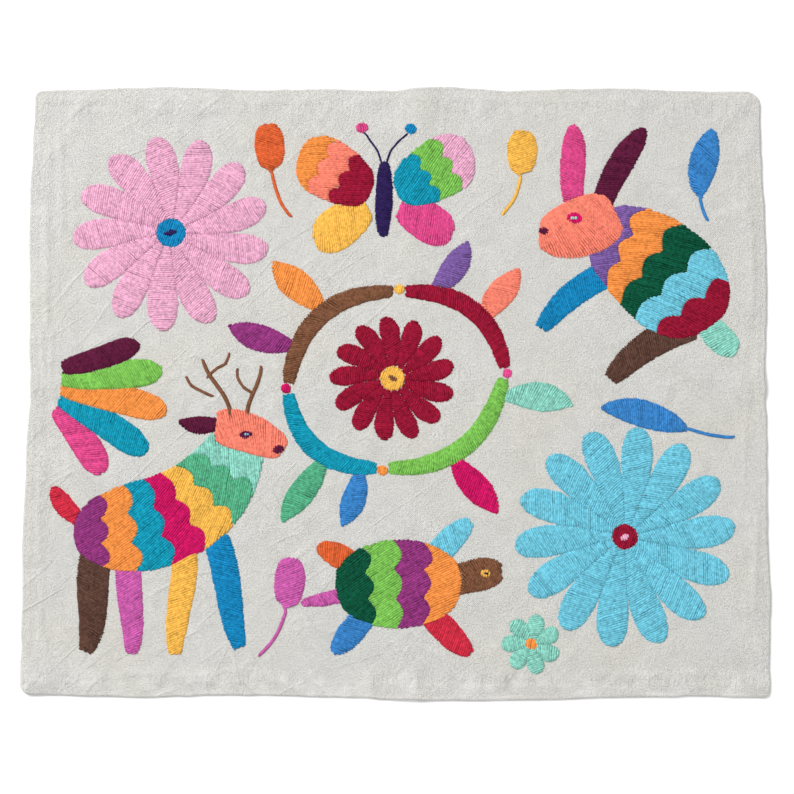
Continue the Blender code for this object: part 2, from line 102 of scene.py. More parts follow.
# The stitches
PITCH = 1.3
SLANT = 24.0
HATCH_SLANT = 28.0
SECTION = ((-0.86, -0.28), (-0.52, 0.20), (0, 0.40), (0.52, 0.20), (0.86, -0.28))
SHORTEST = 0.6
LONGEST_STEP = 1.7
FEWEST_STEPS = 5
END_BUNCH = 0.11
END_WIDTH = 0.6
END_RUN = 1.0
RAGGED = 0.16
SINK = 0.15
PLATEAU = 0.3
DOME = 0.5
DOME_FULL = 9.0
SIZE_SPREAD = 0.04
RISE_SPREAD = 0.06
WAVE = 0.45
WAVE_CELL = 5.0
WAVE_FULL = 6.0
OWN_WAVE = 0.07
OWN_WAVE_CELL = 2.6
SPINE_STEPS = 60
OUTLINE_STEPS = 40
THIN_BLADE = 5.0
STALK_STITCH = 4.6
STALK_ADVANCE = 1.3
STALK_WIDTH = 3.2
LINE_STITCH = 3.4
LINE_ADVANCE = 1.5
OVERLAP = -0.35
PETAL_FULL = 2.1
HEM_LINE = 2.7
HEM_STITCH = 1.9
HEM_GAP = 1.5
HEM_DRIFT = 0.2
FIRST_SEED = 101

YARNS = {
    "sky": (111, 195, 216), "pink": (226, 168, 196), "crimson": (150, 18, 50),
    "brown": (126, 84, 60), "dark_brown": (92, 64, 54), "lime": (124, 190, 84),
    "mint": (139, 206, 190), "jade": (85, 172, 132), "purple": (146, 54, 124),
    "orchid": (198, 92, 168), "hot_pink": (216, 72, 136), "raspberry": (200, 10, 95),
    "orange": (238, 145, 68), "rust": (214, 96, 48), "yellow": (238, 182, 78),
    "blue": (14, 131, 184), "teal": (10, 150, 178), "cornflower": (56, 130, 196),
    "plum": (93, 27, 58), "salmon": (240, 130, 108), "lavender": (124, 92, 160),
    "navy": (46, 32, 84), "forest": (12, 84, 60), "red": (205, 42, 66),
}

# How far each side swings out of the straight: where along it, half length, amount
Bulge = namedtuple("Bulge", "side at reach out")
BULGES = [Bulge(*row) for row in (
    ("left", 112, 70, 1.8), ("left", -4, 40, -1.7), ("left", -98, 55, 0.9), ("right", 78, 95, 2.4),
    ("right", -30, 45, 0.8), ("right", -132, 45, 1.3), ("top", -148, 75, 2.2), ("top", -48, 50, 1.2),
    ("top", 32, 45, 2.6), ("top", 132, 75, 1.9), ("bottom", -160, 60, 1.5), ("bottom", 42, 125, 2.7),
    ("bottom", 190, 30, -0.8),
)]

# How round each corner is
Corner = namedtuple("Corner", "east north radius")
CORNERS = [Corner(*row) for row in (
    (False, True, 5.5),
    (True, True, 9.5),
    (False, False, 6.5),
    (True, False, 4.5),
)]

# Folds and wrinkles: soft ridges from start to end, with half width and height
Fold = namedtuple("Fold", "start end reach rise")
FOLDS = [Fold((x0, y0), (x1, y1), *shape) for x0, y0, x1, y1, *shape in (
    (17, 222, 14, 152, 16, 1.8), (14, 200, 9, -70, 27, 0.7), (8, -60, 10, -205, 27, 0.5),
    (9, -168, 11, -222, 16, 1.0), (-266, 3, -197, 0, 13, 1.8), (-230, 0, 230, 4, 27, 0.5),
    (200, 5, 266, 2, 14, 1.3), (-221, 165, -218, 20, 5, 0.5), (-213, 178, -211, 70, 5, 0.35),
    (-217, -20, -221, -120, 5.5, 0.5), (221, 175, 223, 30, 6, 0.6), (221, -70, 224, -180, 6, 0.6),
    (-200, 181, -70, 178, 7, 0.5), (60, 179, 190, 182, 7, 0.5), (-190, -176, -60, -180, 7, 0.7),
    (70, -180, 200, -177, 7, 0.7), (-236, -196, -204, -164, 20, 1.3), (-236, 120, -196, 178, 8, 0.5),
)]

# Lone areas. bow_a and bow_b: how far the midline swings out at a third and at two
# thirds of its way. base, tip: share of the width left at the ends. belly: where it is
# widest. edge: 0.5 for round ends, 1 for pointed ones. under: the area that this one
# stops at. stalk: share that is stalk.
Blade = namedtuple(
    "Blade", "name yarn start end bow_a bow_b width base tip belly edge under stalk", defaults=("", 0)
)
# Shapes that repeat: base, tip, belly, edge
LEAF = (0.15, 0.06, 0.55, 0.9)
ARC = (0.5, 0.5, 0.5, 0.5)
FLIPPER = (0.7, 0.2, 0.5, 0.6)
FAN = (0.4, 0.1, 0.72, 0.5)
BUD = (0.35, 0.3, 0.55, 0.5)
LEG = (0.9, 0.4, 0.2, 0.6)
PAW = (0.9, 0.45, 0.2, 0.6)
EAR = (0.6, 0.12, 0.6, 0.6)
ANTLER = (1, 0.5, 0.1, 0.5)
BLADES = [Blade(*row) for row in (
    # A wreath of four arcs, and its leaves
    ("wreath_brown", "brown", (-67, 3), (-2, 61), 25, 25, 12, *ARC),
    ("wreath_crimson", "crimson", (6, 61), (68, 13), 21, 23, 12, *ARC),
    ("wreath_lime", "lime", (67, 6), (-4, -50), 24, 25, 12, *ARC),
    ("wreath_teal", "teal", (-12, -50), (-67, -4), 20, 21, 12, *ARC),
    ("leaf_nw", "orange", (-46, 48), (-77, 80), -3, 3, 19, *LEAF, "wreath_brown"),
    ("leaf_w", "purple", (-62, 27), (-105, 39), 4, 2, 17, *LEAF, "wreath_brown"),
    ("leaf_n", "lavender", (22, 61), (45, 93), -4, -4, 16, *LEAF, "wreath_crimson"),
    ("leaf_ne", "salmon", (54, 41), (77, 76), 4, -2, 17, *LEAF, "wreath_crimson"),
    ("leaf_e", "mint", (67, -6), (110, -10), 4, 4, 18, *LEAF, "wreath_lime"),
    ("leaf_se", "raspberry", (36, -42), (63, -78), -4, 2, 17, *LEAF, "wreath_lime"),
    ("leaf_s", "cornflower", (-22, -50), (-33, -86), 3, 3, 15, *LEAF, "wreath_teal"),
    ("leaf_sw", "jade", (-44, -42), (-70, -84), 4, -2, 16, *LEAF, "wreath_teal"),
    # A fan at the left, each blade tucked under the one before it
    ("fan_plum", "plum", (-209, 12), (-161, 28), -2, -2, 15, 0.45, 0.1, 0.72, 0.5),
    ("fan_lime", "lime", (-209, 5), (-146, 10), 0, 0, 18, *FAN, "fan_plum"),
    ("fan_orange", "orange", (-209, -1), (-143, -15), 2, 1, 18, *FAN, "fan_lime"),
    ("fan_teal", "teal", (-210, -7), (-155, -41), 3, 2, 18, *FAN, "fan_orange"),
    ("fan_pink", "hot_pink", (-212, -13), (-182, -54), 3, 2, 18, *FAN, "fan_teal"),
    # The deer
    ("deer_head", "salmon", (-112, -24), (-70, -39), 4, 3, 25, 0.6, 0.35, 0.3, 0.5),
    ("deer_ear", "plum", (-108, -22), (-135, -21), 3, 3, 11, 0.4, 0.1, 0.5, 0.8, "deer_head"),
    ("deer_antler_a", "brown", (-103, -22), (-121, 18), -9, 3, 5, *ANTLER, "deer_head"),
    ("deer_antler_b", "brown", (-92, -24), (-84, 14), 7, -3, 5, *ANTLER, "deer_head"),
    ("deer_leg_a", "dark_brown", (-183, -98), (-190, -164), -6, 6, 20, 0.9, 0.35, 0.2, 0.6, "deer_body"),
    ("deer_leg_b", "orchid", (-164, -104), (-162, -165), -4, 4, 16, *LEG, "deer_body"),
    ("deer_leg_c", "yellow", (-130, -102), (-135, -165), 3, -3, 16, *LEG, "deer_body"),
    ("deer_leg_d", "blue", (-111, -94), (-95, -161), 4, -3, 17, *LEG, "deer_body"),
    ("deer_tail", "red", (-194, -84), (-213, -62), 3, 3, 12, 0.5, 0.12, 0.55, 0.7, "deer_body"),
    # The rabbit
    ("rabbit_head", "salmon", (138, 112), (90, 98), 3, 6, 38, 0.45, 0.3, 0.38, 0.5),
    ("rabbit_ear_a", "plum", (128, 112), (157, 166), 5, 3, 16, *EAR, "rabbit_head"),
    ("rabbit_ear_b", "hot_pink", (113, 114), (111, 168), 5, -3, 16, *EAR, "rabbit_head"),
    ("rabbit_foreleg", "blue", (134, 73), (91, 38), -6, -5, 17, *PAW, "rabbit_body"),
    ("rabbit_foot", "dark_brown", (186, 40), (134, 6), -7, -6, 19, *PAW, "rabbit_body"),
    ("rabbit_tail", "mint", (194, 42), (213, 24), -2, -2, 18, 0.6, 0.25, 0.55, 0.5, "rabbit_body"),
    # The butterfly
    ("butterfly_body", "navy", (-8, 96), (-8, 144), 1, -1, 11, 0.3, 0.3, 0.5, 0.6),
    ("wing_low_l", "yellow", (-18, 115), (-51, 92), -2, 2, 27, 0.4, 0.2, 0.62, 0.5, "wing_up_l"),
    ("wing_low_r", "hot_pink", (2, 115), (35, 97), 2, -2, 25, 0.4, 0.2, 0.62, 0.5, "wing_up_r"),
    # The turtle
    ("turtle_head", "brown", (30, -122), (66, -114), 2, 2, 20, 0.7, 0.35, 0.62, 0.5, "turtle_shell"),
    ("flipper_a", "sky", (18, -110), (47, -83), -2, 2, 16, *FLIPPER, "turtle_shell"),
    ("flipper_b", "red", (18, -138), (47, -164), 2, -2, 16, *FLIPPER, "turtle_shell"),
    ("flipper_c", "rust", (-18, -112), (-48, -99), 2, -2, 15, *FLIPPER, "turtle_shell"),
    ("flipper_d", "cornflower", (-14, -138), (-38, -163), -2, 2, 16, *FLIPPER, "turtle_shell"),
    ("turtle_tail", "orchid", (-28, -126), (-58, -134), 3, 0, 9, 0.8, 0.15, 0.3, 0.6, "turtle_shell"),
    # Leaves and buds on stalks
    ("leaf_east", "cornflower", (211, -30), (128, -12), 7, -8, 17, 0.2, 0.06, 0.5, 0.8, "", 0.36),
    ("leaf_high", "cornflower", (196, 106), (200, 166), 12, 4, 18, 0.2, 0.06, 0.5, 0.8, "", 0.27),
    ("bud_tr", "yellow", (66, 110), (80, 164), -12, -3, 19, *BUD, "", 0.52),
    ("bud_tl", "rust", (-66, 108), (-82, 168), 11, 2, 19, *BUD, "", 0.54),
    ("bud_bl", "orchid", (-84, -166), (-64, -106), -14, -5, 19, *BUD, "", 0.54),
)]

# Banded areas: yarns in order along the midline, scallops across, how deep they swing,
# and where each band ends
Banded = namedtuple("Banded", "blade yarns scallops depth cuts")
BODIES = [
    Banded(
        Blade("deer_body", "teal", (-199, -90), (-97, -30), -24, -37, 56, 0.14, 0.42, 0.36, 0.5,
              "deer_head"),
        ["purple", "orange", "teal", "raspberry", "yellow", "jade", "mint"], 3, 0.04,
        [0, 0.14, 0.28, 0.42, 0.56, 0.70, 0.84, 1]),
    Banded(
        Blade("rabbit_body", "forest", (195, 38), (124, 96), -10, -16, 66, 0.14, 0.35, 0.4, 0.5,
              "rabbit_head"),
        ["crimson", "sky", "forest", "orange", "lavender"], 3, 0.06,
        [0, 0.2, 0.4, 0.6, 0.8, 1]),
    Banded(
        Blade("turtle_shell", "lime", (-36, -126), (41, -123), 4, 4, 54, 0.14, 0.14, 0.5, 0.5),
        ["forest", "lime", "purple", "orange"], 3, 0.06,
        [0, 0.27, 0.5, 0.73, 1]),
    Banded(
        Blade("wing_up_l", "crimson", (-16, 125), (-62, 148), 2, -3, 38, 0.25, 0.2, 0.65, 0.5),
        ["crimson", "salmon", "orange"], 3, 0.08,
        [0, 0.4, 0.7, 1]),
    Banded(
        Blade("wing_up_r", "teal", (0, 125), (48, 150), -2, 3, 38, 0.25, 0.2, 0.65, 0.5),
        ["teal", "lime", "pink"], 3, 0.08,
        [0, 0.4, 0.7, 1]),
]

# Flowers: core and notch are where the petals start and where they part; twist is how
# far a petal leans on its way out, in degrees
Flower = namedtuple("Flower", "name yarn centre petals core notch radius turn twist")
FLOWERS = [Flower(*row) for row in (
    ("flower_pink", "pink", (-142, 98), 13, 9.6, 29, 62, 10, 7),
    ("flower_sky", "sky", (142, -92), 14, 8.2, 31, 68, 0, 5),
    ("flower_mint", "mint", (84, -158), 7, 3.6, 8.5, 18, 22, 4),
    ("flower_crimson", "crimson", (-2, 6), 13, 8.2, 19, 39, 5, 8),
)]

Disc = namedtuple("Disc", "name yarn centre radius")
DISCS = [Disc(*row) for row in (
    ("eye_pink", "blue", (-142, 98), 9.0),
    ("eye_sky", "crimson", (142, -92), 7.6),
    ("eye_crimson", "yellow", (-2, 6), 7.6),
)]

# Fine wrinkles of the margins: start, end, half width, height and sideways bend
Wrinkle = namedtuple("Wrinkle", "start end reach rise bend")
WRINKLES = [Wrinkle((x0, y0), (x1, y1), *shape) for x0, y0, x1, y1, *shape in (
    (-225, 152, -223, 44, 2.6, 0.5, 1.6), (-219, 128, -216, 6, 2.4, 0.55, -2.0),
    (-213, 158, -212, 92, 2.2, 0.4, 1.0), (-226, 66, -221, -42, 2.8, 0.5, 2.2),
    (-214, 50, -215, -4, 2.0, 0.35, -1.0), (-222, -30, -218, -118, 2.6, 0.45, -1.8),
    (-217, -100, -221, -172, 2.4, 0.45, 1.4), (-227, -120, -212, -178, 2.6, 0.55, 2.0),
    (-208, -150, -203, -182, 2.4, 0.4, 1.0), (-204, 176, -150, 172, 2.6, 0.4, 1.8),
    (-176, 180, -92, 177, 2.4, 0.4, -1.2), (-60, 176, -6, 179, 2.4, 0.35, 1.2),
    (30, 184, 26, 150, 2.8, 0.55, 1.0), (3, 186, 6, 158, 2.6, 0.45, -1.0),
    (60, 177, 118, 175, 2.4, 0.35, -1.0), (150, 180, 214, 176, 2.6, 0.45, 1.6),
    (217, 172, 216, 96, 2.4, 0.5, -1.4), (223, 120, 221, 26, 2.6, 0.5, 1.6),
    (214, 88, 219, 10, 2.2, 0.35, 1.2), (221, 8, 216, -66, 2.6, 0.45, -1.4),
    (224, -52, 219, -150, 2.6, 0.5, 1.4), (216, -112, 221, -178, 2.4, 0.4, -1.4),
    (200, -176, 120, -174, 2.6, 0.45, 1.4), (96, -180, 30, -176, 2.4, 0.4, -1.2),
    (14, -174, -54, -178, 2.6, 0.45, 1.4), (-70, -174, -130, -179, 2.4, 0.4, -1.4),
    (-140, -175, -200, -180, 2.6, 0.5, 1.2), (-229, -189, -214, -174, 2.4, 0.6, 0.5),
    (229, -189, 217, -177, 2.4, 0.5, 0.5), (-229, 189, -217, 178, 2.4, 0.45, 0.5),
    (229, 189, 218, 179, 2.4, 0.45, 0.5), (-219, 165, -197, 122, 1.7, 0.75, -0.6),
    (-217, 164, -186, 188, 1.7, 0.6, 0.8), (-209, 171, -193, 186, 1.6, 0.45, 0.4),
    (-194, 152, -140, 188, 1.8, 0.72, -0.8), (-182, 154, -136, 184, 1.7, 0.45, 0.6),
    (-203, 118, -192, 142, 1.7, 0.5, 0.5), (-208, 96, -198, 66, 1.7, 0.5, -0.6),
    (-211, 24, -200, 4, 1.7, 0.5, 0.5), (-98, 187, -62, 168, 2.0, 0.42, 0.8),
    (-40, 187, -52, 166, 3.4, 0.55, 0.6), (70, 186, 88, 168, 2.0, 0.36, -0.6),
    (186, 186, 206, 168, 1.9, 0.5, 0.6), (212, 60, 226, 44, 1.9, 0.5, 0.4),
    (206, -150, 224, -168, 1.9, 0.6, 0.5), (186, -160, 200, -184, 1.9, 0.5, -0.5),
)]

# Small stitched marks on top: eyes and dots. across and high are the mark's own size
Mark = namedtuple("Mark", "name yarn centre across high angle raised")
MARKS = [Mark(*row) for row in (
    ("dot_pink", "navy", (-142.5, 98), 8.0, 4.6, 15, 0.7),
    ("dot_sky", "pink", (142, -92.3), 5.6, 4.0, 30, 0.7),
    ("dot_crimson", "brown", (-2, 6), 5.8, 4.4, -20, 0.7),
    ("eye_mint", "orange", (84, -158), 7.8, 7.8, 0, 0.0),
    ("eye_deer", "plum", (-93, -29.5), 7.4, 5.6, 10, 0.85),
    ("eye_deer_dot", "sky", (-92.4, -29.4), 3.2, 2.4, 10, 1.35),
    ("eye_rabbit", "raspberry", (112, 108), 9.4, 8.0, 0, 0.85),
    ("eye_rabbit_dot", "mint", (111.6, 108), 4.2, 3.2, 0, 1.35),
    ("eye_turtle", "yellow", (56, -115), 5.6, 5.0, 0, 0.85),
    ("eye_turtle_dot", "navy", (56.2, -115), 2.4, 2.2, 0, 1.35),
    ("seed_n", "yellow", (2, 62.5), 6.0, 6.0, 0, 0.0),
    ("seed_w", "raspberry", (-68.5, -0.5), 6.0, 6.0, 0, 0.0),
    ("seed_e", "hot_pink", (69.5, 9.5), 5.6, 5.6, 0, 0.0),
    ("seed_s", "orange", (-8, -51.5), 6.0, 6.0, 0, 0.0),
    ("antenna_ball_l", "hot_pink", (-22, 166), 7.0, 6.4, 20, 0.0),
    ("antenna_ball_r", "blue", (9, 165), 7.0, 6.4, -20, 0.0),
    ("deer_nose", "plum", (-73, -38.5), 5.0, 6.4, 70, 0.75),
    ("rabbit_nose", "plum", (93, 99.6), 4.4, 6.4, 70, 0.75),
)]

# Lines of stem stitch
Line = namedtuple("Line", "name yarn points width")
LINES = [Line(*row) for row in (
    ("antenna_l", "navy", ((-9.5, 143), (-12, 151), (-17, 158), (-20.5, 163)), 1.5),
    ("antenna_r", "navy", ((-6.5, 143), (-4, 151), (2, 158), (7, 162)), 1.5),
    ("tine_a", "brown", ((-113.5, -6), (-120, -3), (-128, 1), (-131, 7)), 2.2),
    ("tine_b", "brown", ((-118.5, 6), (-112, 12), (-106, 15), (-104, 22)), 2.2),
    ("tine_c", "brown", ((-88.5, -4), (-95, 0), (-99, 6), (-99, 12)), 2.2),
)]


def swell(off, reach):
    """A soft bump: 1 in the middle, 0 at reach."""
    return np.where(np.abs(off) < reach, 0.5 + 0.5 * np.cos(np.pi * off / reach), 0.0)


def fade(off, reach):
    """1 at a place, and falling away around it."""
    return np.exp(-((off / reach) ** 2))


def ridge(x, y, fold, bend=0.0):
    """Height of one fold or wrinkle."""
    (x0, y0), (x1, y1) = fold.start, fold.end
    length = math.hypot(x1 - x0, y1 - y0)
    ux, uy = (x1 - x0) / length, (y1 - y0) / length
    along = np.clip(((x - x0) * ux + (y - y0) * uy) / length, 0, 1)
    swerve = bend * np.sin(np.pi * along)
    across = (y - y0) * ux - (x - x0) * uy - swerve
    return fold.rise * swell(across, fold.reach) * np.sin(np.pi * along)


def swing(side, at):
    return sum(b.out * swell(at - b.at, b.reach) for b in BULGES if b.side == side)


def on_cloth(x, y):
    """Move places on the plain rectangle to the uneven cloth."""
    radius = np.ones_like(x)
    for corner in CORNERS:
        here = ((x > 0) == corner.east) & ((y > 0) == corner.north)
        radius = np.where(here, corner.radius, radius)
    u = np.clip((np.abs(x) - HALF_X) / radius + 1, 0, 1)
    v = np.clip((np.abs(y) - HALF_Y) / radius + 1, 0, 1)
    new_x = x + np.sign(x) * radius * u * (np.sqrt(1 - v * v / 2) - 1)
    new_y = y + np.sign(y) * radius * v * (np.sqrt(1 - u * u / 2) - 1)
    near_x = np.clip(1 - (HALF_X - np.abs(x)) / BULGE_FADE, 0, None)
    near_y = np.clip(1 - (HALF_Y - np.abs(y)) / BULGE_FADE, 0, None)
    new_x = new_x + near_x * np.where(x > 0, swing("right", y), -swing("left", y))
    new_y = new_y + near_y * np.where(y > 0, swing("top", x), -swing("bottom", x))
    return new_x, new_y


def rim_middle():
    """Middle of the uneven cloth's box, which lies at x = y = 0 in the frame."""
    across = np.linspace(-1, 1, 401)
    side = np.ones_like(across)
    xs = HALF_X * np.concatenate([across, across, side, -side])
    ys = HALF_Y * np.concatenate([side, -side, across, across])
    xs, ys = on_cloth(xs, ys)
    return (xs.min() + xs.max()) / 2, (ys.min() + ys.max()) / 2


MIDDLE_X, MIDDLE_Y = rim_middle()


def between(grid, i, j, u, v):
    """Values of a grid between its points, u and v past place i, j."""
    next_i, next_j = (i + 1) % len(grid), (j + 1) % grid.shape[1]
    low = grid[i, j] * (1 - u) + grid[next_i, j] * u
    high = grid[i, next_j] * (1 - u) + grid[next_i, next_j] * u
    return low * (1 - v) + high * v


def noise(x, y, cell, seed):
    """Smooth seeded noise from -1 to 1."""
    size = 256
    lattice = np.random.default_rng(seed).uniform(-1, 1, (size, size))
    i, j = np.floor(x / cell).astype(int), np.floor(y / cell).astype(int)
    u, v = x / cell - i, y / cell - j
    u, v = u * u * (3 - 2 * u), v * v * (3 - 2 * v)
    return between(lattice, i % size, j % size, u, v)


def spine(row, s):
    """A place on a blade's midline, and the way to its left."""
    (x0, y0), (x1, y1) = row.start, row.end
    length = math.hypot(x1 - x0, y1 - y0)
    ux, uy = (x1 - x0) / length, (y1 - y0) / length
    ax, ay = x0 + (x1 - x0) / 3 - uy * row.bow_a, y0 + (y1 - y0) / 3 + ux * row.bow_a
    bx, by = x1 - (x1 - x0) / 3 - uy * row.bow_b, y1 - (y1 - y0) / 3 + ux * row.bow_b
    r = 1 - s
    x = r**3 * x0 + 3 * r * r * s * ax + 3 * r * s * s * bx + s**3 * x1
    y = r**3 * y0 + 3 * r * r * s * ay + 3 * r * s * s * by + s**3 * y1
    dx = r * r * (ax - x0) + 2 * r * s * (bx - ax) + s * s * (x1 - bx)
    dy = r * r * (ay - y0) + 2 * r * s * (by - ay) + s * s * (y1 - by)
    slope = math.hypot(dx, dy)
    return x, y, -dy / slope, dx / slope


def half_width(row, s):
    if s < row.stalk:
        return STALK_WIDTH / 2
    s = (s - row.stalk) / (1 - row.stalk)
    if s < row.belly:
        left, off = row.base, (row.belly - s) / row.belly
    else:
        left, off = row.tip, (s - row.belly) / (1 - row.belly)
    return row.width / 2 * (left + (1 - left) * (1 - off * off) ** row.edge)


def blade_place(row, s, w, grow=0.0):
    """A place on a blade: s along it and w across it, both 0 to 1."""
    x, y, nx, ny = spine(row, s)
    reach = (half_width(row, s) + grow) * (2 * w - 1)
    ahead = grow * (2 * s - 1)
    return x + nx * reach + ny * ahead, y + ny * reach - nx * ahead


def blade_outline(row, grow=0.0):
    steps = [0.5 - 0.5 * math.cos(math.pi * k / OUTLINE_STEPS) for k in range(OUTLINE_STEPS + 1)]
    there = [blade_place(row, s, 0, grow) for s in steps]
    back = [blade_place(row, s, 1, grow) for s in reversed(steps)]
    return np.array(there + back)


def cut_at(body, k, w):
    """Where band k starts, which swings in scallops across the body."""
    s = body.cuts[k]
    if 0 < k < len(body.yarns):
        s += body.depth * (abs(math.sin(math.pi * body.scallops * w)) - 0.5)
    return s


def band_outline(body, k):
    """The rim of band k: its start, a side, its end from right to left, the other side."""
    ws, bs = np.linspace(0, 1, 49), np.linspace(0, 1, 9)
    places = [(w, 0) for w in ws] + [(1, b) for b in bs[1:]]
    places += [(w, 1) for w in ws[-2::-1]] + [(0, b) for b in bs[-2:0:-1]]
    points = []
    for w, b in places:
        s = cut_at(body, k, w) * (1 - b) + cut_at(body, k + 1, w) * b
        points.append(blade_place(body.blade, s, w))
    return np.array(points)


def petal_limit(f, rho):
    """Share of the full half width that a petal has at a distance from the middle."""
    if rho <= f.notch:
        return 1.0
    out = min(1.0, (rho - f.notch) / (f.radius - f.notch))
    return (1 - out * out) ** (1 / PETAL_FULL)


def flower_place(f, petal, rho, off):
    lean = f.twist * (rho - f.core) / (f.radius - f.core)
    angle = math.radians(f.turn + 360 / f.petals * (petal + off / 2) + lean)
    return f.centre[0] + rho * math.cos(angle), f.centre[1] + rho * math.sin(angle)


def flower_outline(f):
    points = []
    for petal in range(f.petals):
        for off in np.linspace(-1, 1, 13)[:-1]:
            reach = f.notch + (f.radius - f.notch) * math.sqrt(1 - abs(off) ** PETAL_FULL)
            points.append(flower_place(f, petal, reach, off))
    return np.array(points)


def round_outline(centre, across, high, angle=0.0, sides=32):
    turn = np.linspace(0, 2 * np.pi, sides, endpoint=False)
    x, y = across / 2 * np.cos(turn), high / 2 * np.sin(turn)
    c, s = math.cos(math.radians(angle)), math.sin(math.radians(angle))
    return np.c_[centre[0] + x * c - y * s, centre[1] + x * s + y * c]


def inside(points, outline):
    """Which points lie inside a closed outline."""
    x, y = points[..., 0], points[..., 1]
    found = np.zeros(x.shape, bool)
    for (x0, y0), (x1, y1) in zip(outline, np.roll(outline, -1, axis=0)):
        if y0 == y1:
            continue
        crosses = (y0 > y) != (y1 > y)
        found ^= crosses & (x < (x1 - x0) * (y - y0) / (y1 - y0) + x0)
    return found


LONE = {row.name: row for row in BLADES + [body.blade for body in BODIES]}
OUTLINES = {name: blade_outline(row) for name, row in LONE.items()}
KEEP_OFF = {name: blade_outline(row, OVERLAP) for name, row in LONE.items()}
OUTLINES.update({f.name: flower_outline(f) for f in FLOWERS})


# The height field of folds, wrinkles and puckers


def axis(half):
    return np.arange(-half, half + FIELD_STEP / 2, FIELD_STEP)


def sewn_places(gx, gy):
    """Where the field is covered with stitches."""
    places = np.stack([gx, gy], axis=-1)
    sewn = np.zeros(gx.shape, bool)
    for outline in OUTLINES.values():
        low = ((outline.min(0) + (FIELD_X, FIELD_Y)) / FIELD_STEP).astype(int)
        high = ((outline.max(0) + (FIELD_X, FIELD_Y)) / FIELD_STEP).astype(int) + 2
        part = (slice(low[0], high[0]), slice(low[1], high[1]))
        sewn[part] |= inside(places[part], outline)
    return sewn


def nearest(sewn):
    """For each place of the field, the nearest sewn place and how far it is."""
    rows, columns = np.indices(sewn.shape)
    far = 10 * max(sewn.shape)
    best_i, best_j = np.where(sewn, rows, -far), np.where(sewn, columns, -far)
    step = 256
    while step:
        for di in (-step, 0, step):
            for dj in (-step, 0, step):
                i = np.clip(rows + di, 0, sewn.shape[0] - 1)
                j = np.clip(columns + dj, 0, sewn.shape[1] - 1)
                new_i, new_j = best_i[i, j], best_j[i, j]
                new = (new_i - rows) ** 2 + (new_j - columns) ** 2
                closer = new < (best_i - rows) ** 2 + (best_j - columns) ** 2
                best_i, best_j = np.where(closer, new_i, best_i), np.where(closer, new_j, best_j)
        step //= 2
    away = np.hypot(best_i - rows, best_j - columns) * FIELD_STEP
    return best_i * FIELD_STEP, best_j * FIELD_STEP, away


def smooth(field):
    field = (np.roll(field, 1, 0) + np.roll(field, -1, 0) + 2 * field) / 4
    return (np.roll(field, 1, 1) + np.roll(field, -1, 1) + 2 * field) / 4


def creases(x, y, kind):
    """Thin ridges and valleys along the lines where a noise changes sign."""
    c, t = math.cos(math.radians(kind.turn)), math.sin(math.radians(kind.turn))
    along, across = (x * c + y * t) * kind.shrink_x, (y * c - x * t) * kind.shrink_y
    field = noise(along + 700, across + 300, kind.cell, kind.seed)
    slope = np.hypot(*np.gradient(field, FIELD_STEP))
    line = fade(field, slope * kind.width + 0.01)
    strength = noise(x + 50, y + 90, 2.2 * kind.cell, kind.seed + 30) + 0.25
    return kind.rise * line * strength


def make_field():
    """Heights of the sheet's underside, over the whole cloth."""
    gx, gy = np.meshgrid(axis(FIELD_X), axis(FIELD_Y), indexing="ij")
    near_x, near_y, away = nearest(sewn_places(gx, gy))
    free = 1 - fade(away, SEWN_REACH)
    fine = sum(ridge(gx, gy, w, w.bend) for w in WRINKLES)
    for cell, rise in CRUMPLES:
        fine = fine + rise * noise(gx + 3 * cell, gy + 7 * cell, cell, int(cell))
    for kind in CREASES:
        fine = fine + creases(gx, gy, kind)
    upright = sum(share * fade(gx - at, reach) for at, reach, share in UPRIGHTS)
    fine = fine + upright * creases(gx, gy, UPRIGHT_CREASE)
    fine = fine + UPRIGHT_RIPPLE * upright * noise(gx * 4, gy * 0.7, 12, 14)
    # Tight weave puckers that run away from the stitching
    rays = noise(near_x, near_y, PUCKER_CELL, 1) + 0.6 * noise(near_x, near_y, PUCKER_CELL / 2, 2)
    pucker = PUCKER * rays * np.exp(-away / PUCKER_FADE) * np.clip(away / 2, 0, 1)
    # Short puckers square to the hem
    from_x, from_y = HALF_X - np.abs(gx), HALF_Y - np.abs(gy)
    by_y = from_x >= from_y
    edge = np.minimum(from_x, from_y)
    along = np.where(by_y, gx + 90 * np.sign(gy), gy + 40 * np.sign(gx))
    ends = np.where(by_y, np.where(gy < 0, PUCKERED_BOTTOM, PUCKERED_TOP), PUCKERED_SIDE)
    from_hem = edge - np.where(by_y, HEM_Y, HEM_X)
    hem = 0.0
    for kind in HEM_PUCKERS:
        ripple = noise(along, kind.stretch * from_hem + kind.shift * by_y, kind.cell, kind.seed)
        hem = hem + kind.rise * ends * ripple * fade(from_hem, kind.reach)
    drawn = -DRAWN_DOWN * fade(away, 2) + 0.1 * noise(gx, gy, 19, 4)
    calm = np.clip(1 - edge / 6, 0, 1)
    rough = fine * free * (1 - 0.6 * calm) + smooth(pucker) * free + hem + drawn
    lying = REST * (1 - 0.8 * fade(edge, 5))
    height = lying + sum(ridge(gx, gy, f) for f in FOLDS) + rough
    return 0.5 * (height + np.sqrt(height * height + FIELD_FLOOR))


FIELD = make_field()


def ground(x, y):
    """Height of the sheet's underside at places on the cloth."""
    u = (np.clip(x, -FIELD_X, FIELD_X - FIELD_STEP) + FIELD_X) / FIELD_STEP
    v = (np.clip(y, -FIELD_Y, FIELD_Y - FIELD_STEP) + FIELD_Y) / FIELD_STEP
    i, j = np.floor(u).astype(int), np.floor(v).astype(int)
    return between(FIELD, i, j, u - i, v - j)


# Materials


def linear(part):
    """One sRGB colour value, 0 to 255, as linear light."""
    return part / 255 / 12.92 if part < 11 else ((part / 255 + 0.055) / 1.055) ** 2.4


